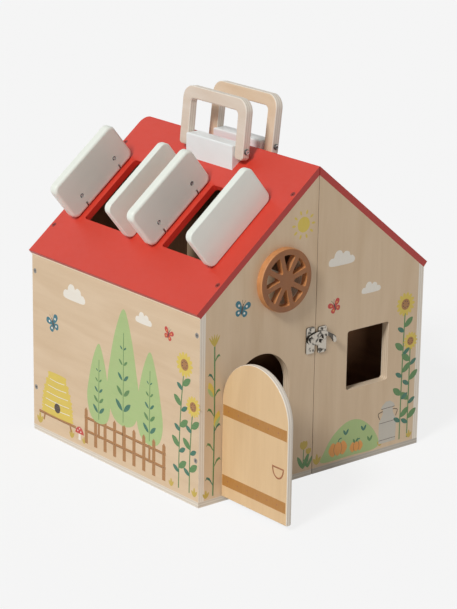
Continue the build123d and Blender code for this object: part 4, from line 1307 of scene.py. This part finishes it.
class FARM_OT_stage(Operator):
    """Pale floor, soft light and the camera of the photograph"""

    bl_idname = "toy_farm.stage"
    bl_label = "Stage"

    def execute(self, context):
        stage = context.scene.farm_stage
        context.scene.view_settings.view_transform = "Standard"
        self.make_world(context.scene, stage)
        self.make_floor(stage)
        lamp = bpy.data.lights.new("Key", "SUN")
        lamp.energy, lamp.angle = stage.key, stage.key_size
        key = linked("Key", lamp)
        key.rotation_mode = "QUATERNION"
        key.rotation_quaternion = Vector(stage.key_side).to_track_quat("Z", "Y")
        self.make_camera(context.scene, stage)
        return {"FINISHED"}

    def split(self, graph, lit, looked_at, part=1.0):
        """One shader for light on the farm, one where the camera, a mirror or glass looks."""
        path = graph.add("ShaderNodeLightPath").outputs
        seen = graph.maths("MAXIMUM", path["Is Camera Ray"], path["Is Glossy Ray"])
        seen = graph.maths("MAXIMUM", seen, path["Is Transmission Ray"])
        sockets = {0: graph.times(seen, part), 1: lit, 2: looked_at}
        return graph.out("ShaderNodeMixShader", sockets)

    def make_world(self, scene, stage):
        scene.world = bpy.data.worlds.new("Studio")
        graph = Graph(emptied(scene.world))
        sockets = {"Color": (1, 1, 1, 1), "Strength": stage.fill}
        room = graph.out("ShaderNodeBackground", sockets)
        backdrop = graph.out("ShaderNodeBackground", {"Color": stage.backdrop})
        graph.add("ShaderNodeOutputWorld", {"Surface": self.split(graph, room, backdrop)})

    def make_floor(self, stage):
        half, tone = stage.floor / 2, stage.floor_tone
        mesh = bpy.data.meshes.new("Floor")
        corners = [(-half, -half, 0), (half, -half, 0), (half, half, 0), (-half, half, 0)]
        mesh.from_pydata(corners, [], [(0, 1, 2, 3)])
        material = bpy.data.materials.new("Pale floor")
        graph = Graph(emptied(material))
        matt = graph.out("ShaderNodeBsdfDiffuse", {"Color": (tone, tone, tone, 1)})
        glow = graph.out("ShaderNodeEmission", {"Color": stage.glow})
        surface = self.split(graph, matt, glow, stage.glow_share)
        graph.add("ShaderNodeOutputMaterial", {"Surface": surface})
        mesh.materials.append(material)
        linked("Floor", mesh)

    def make_camera(self, scene, stage):
        """Camera at the photograph's place: it looks along yaw and dip, rolled a little."""
        right = Vector((math.cos(stage.yaw), -math.sin(stage.yaw), 0))
        level = Vector((math.sin(stage.yaw), math.cos(stage.yaw), 0))
        ahead = level * math.cos(stage.dip) - Z * math.sin(stage.dip)
        up = right.cross(ahead)
        turned = right * math.cos(stage.roll) + up * math.sin(stage.roll)
        upper = up * math.cos(stage.roll) - right * math.sin(stage.roll)
        lens = bpy.data.cameras.new("Camera")
        lens.lens, lens.clip_end = stage.lens, 50
        scene.camera = linked("Camera", lens)
        basis = Matrix((turned, upper, -ahead)).transposed().to_4x4()
        scene.camera.matrix_world = Matrix.Translation(stage.place) @ basis


OPERATORS = (
    FARM_OT_stage,
    FARM_OT_boards,
    FARM_OT_roof,
    FARM_OT_lacquer,
    FARM_OT_handles,
    FARM_OT_door,
    FARM_OT_wheel,
    FARM_OT_hardware,
    FARM_OT_screws,
    FARM_OT_prints,
)
SETTINGS = {
    "farm_wood": FarmWood,
    "farm_paint": FarmPaint,
    "farm_ink": FarmInk,
    "farm_hardware": FarmHardware,
    "farm_stage": FarmStage,
}


class FARM_PT_panel(Panel):
    """Lists the steps that dress the toy farm"""

    bl_label = "Toy farm"
    bl_idname = "FARM_PT_panel"
    bl_space_type = "VIEW_3D"
    bl_region_type = "UI"
    bl_category = "Toy farm"

    def draw(self, context):
        for operator in OPERATORS:
            self.layout.operator(operator.bl_idname)


def register():
    for name, group in SETTINGS.items():
        bpy.utils.register_class(group)
        setattr(bpy.types.Scene, name, PointerProperty(type=group))
    for operator in OPERATORS:
        bpy.utils.register_class(operator)
    bpy.utils.register_class(FARM_PT_panel)


def unregister():
    bpy.utils.unregister_class(FARM_PT_panel)
    for operator in reversed(OPERATORS):
        bpy.utils.unregister_class(operator)
    for name, group in reversed(SETTINGS.items()):
        delattr(bpy.types.Scene, name)
        bpy.utils.unregister_class(group)


def main():
    register()
    for operator in OPERATORS:
        family, name = operator.bl_idname.split(".")
        getattr(getattr(bpy.ops, family), name)()


if __name__ == "__main__":
    main()
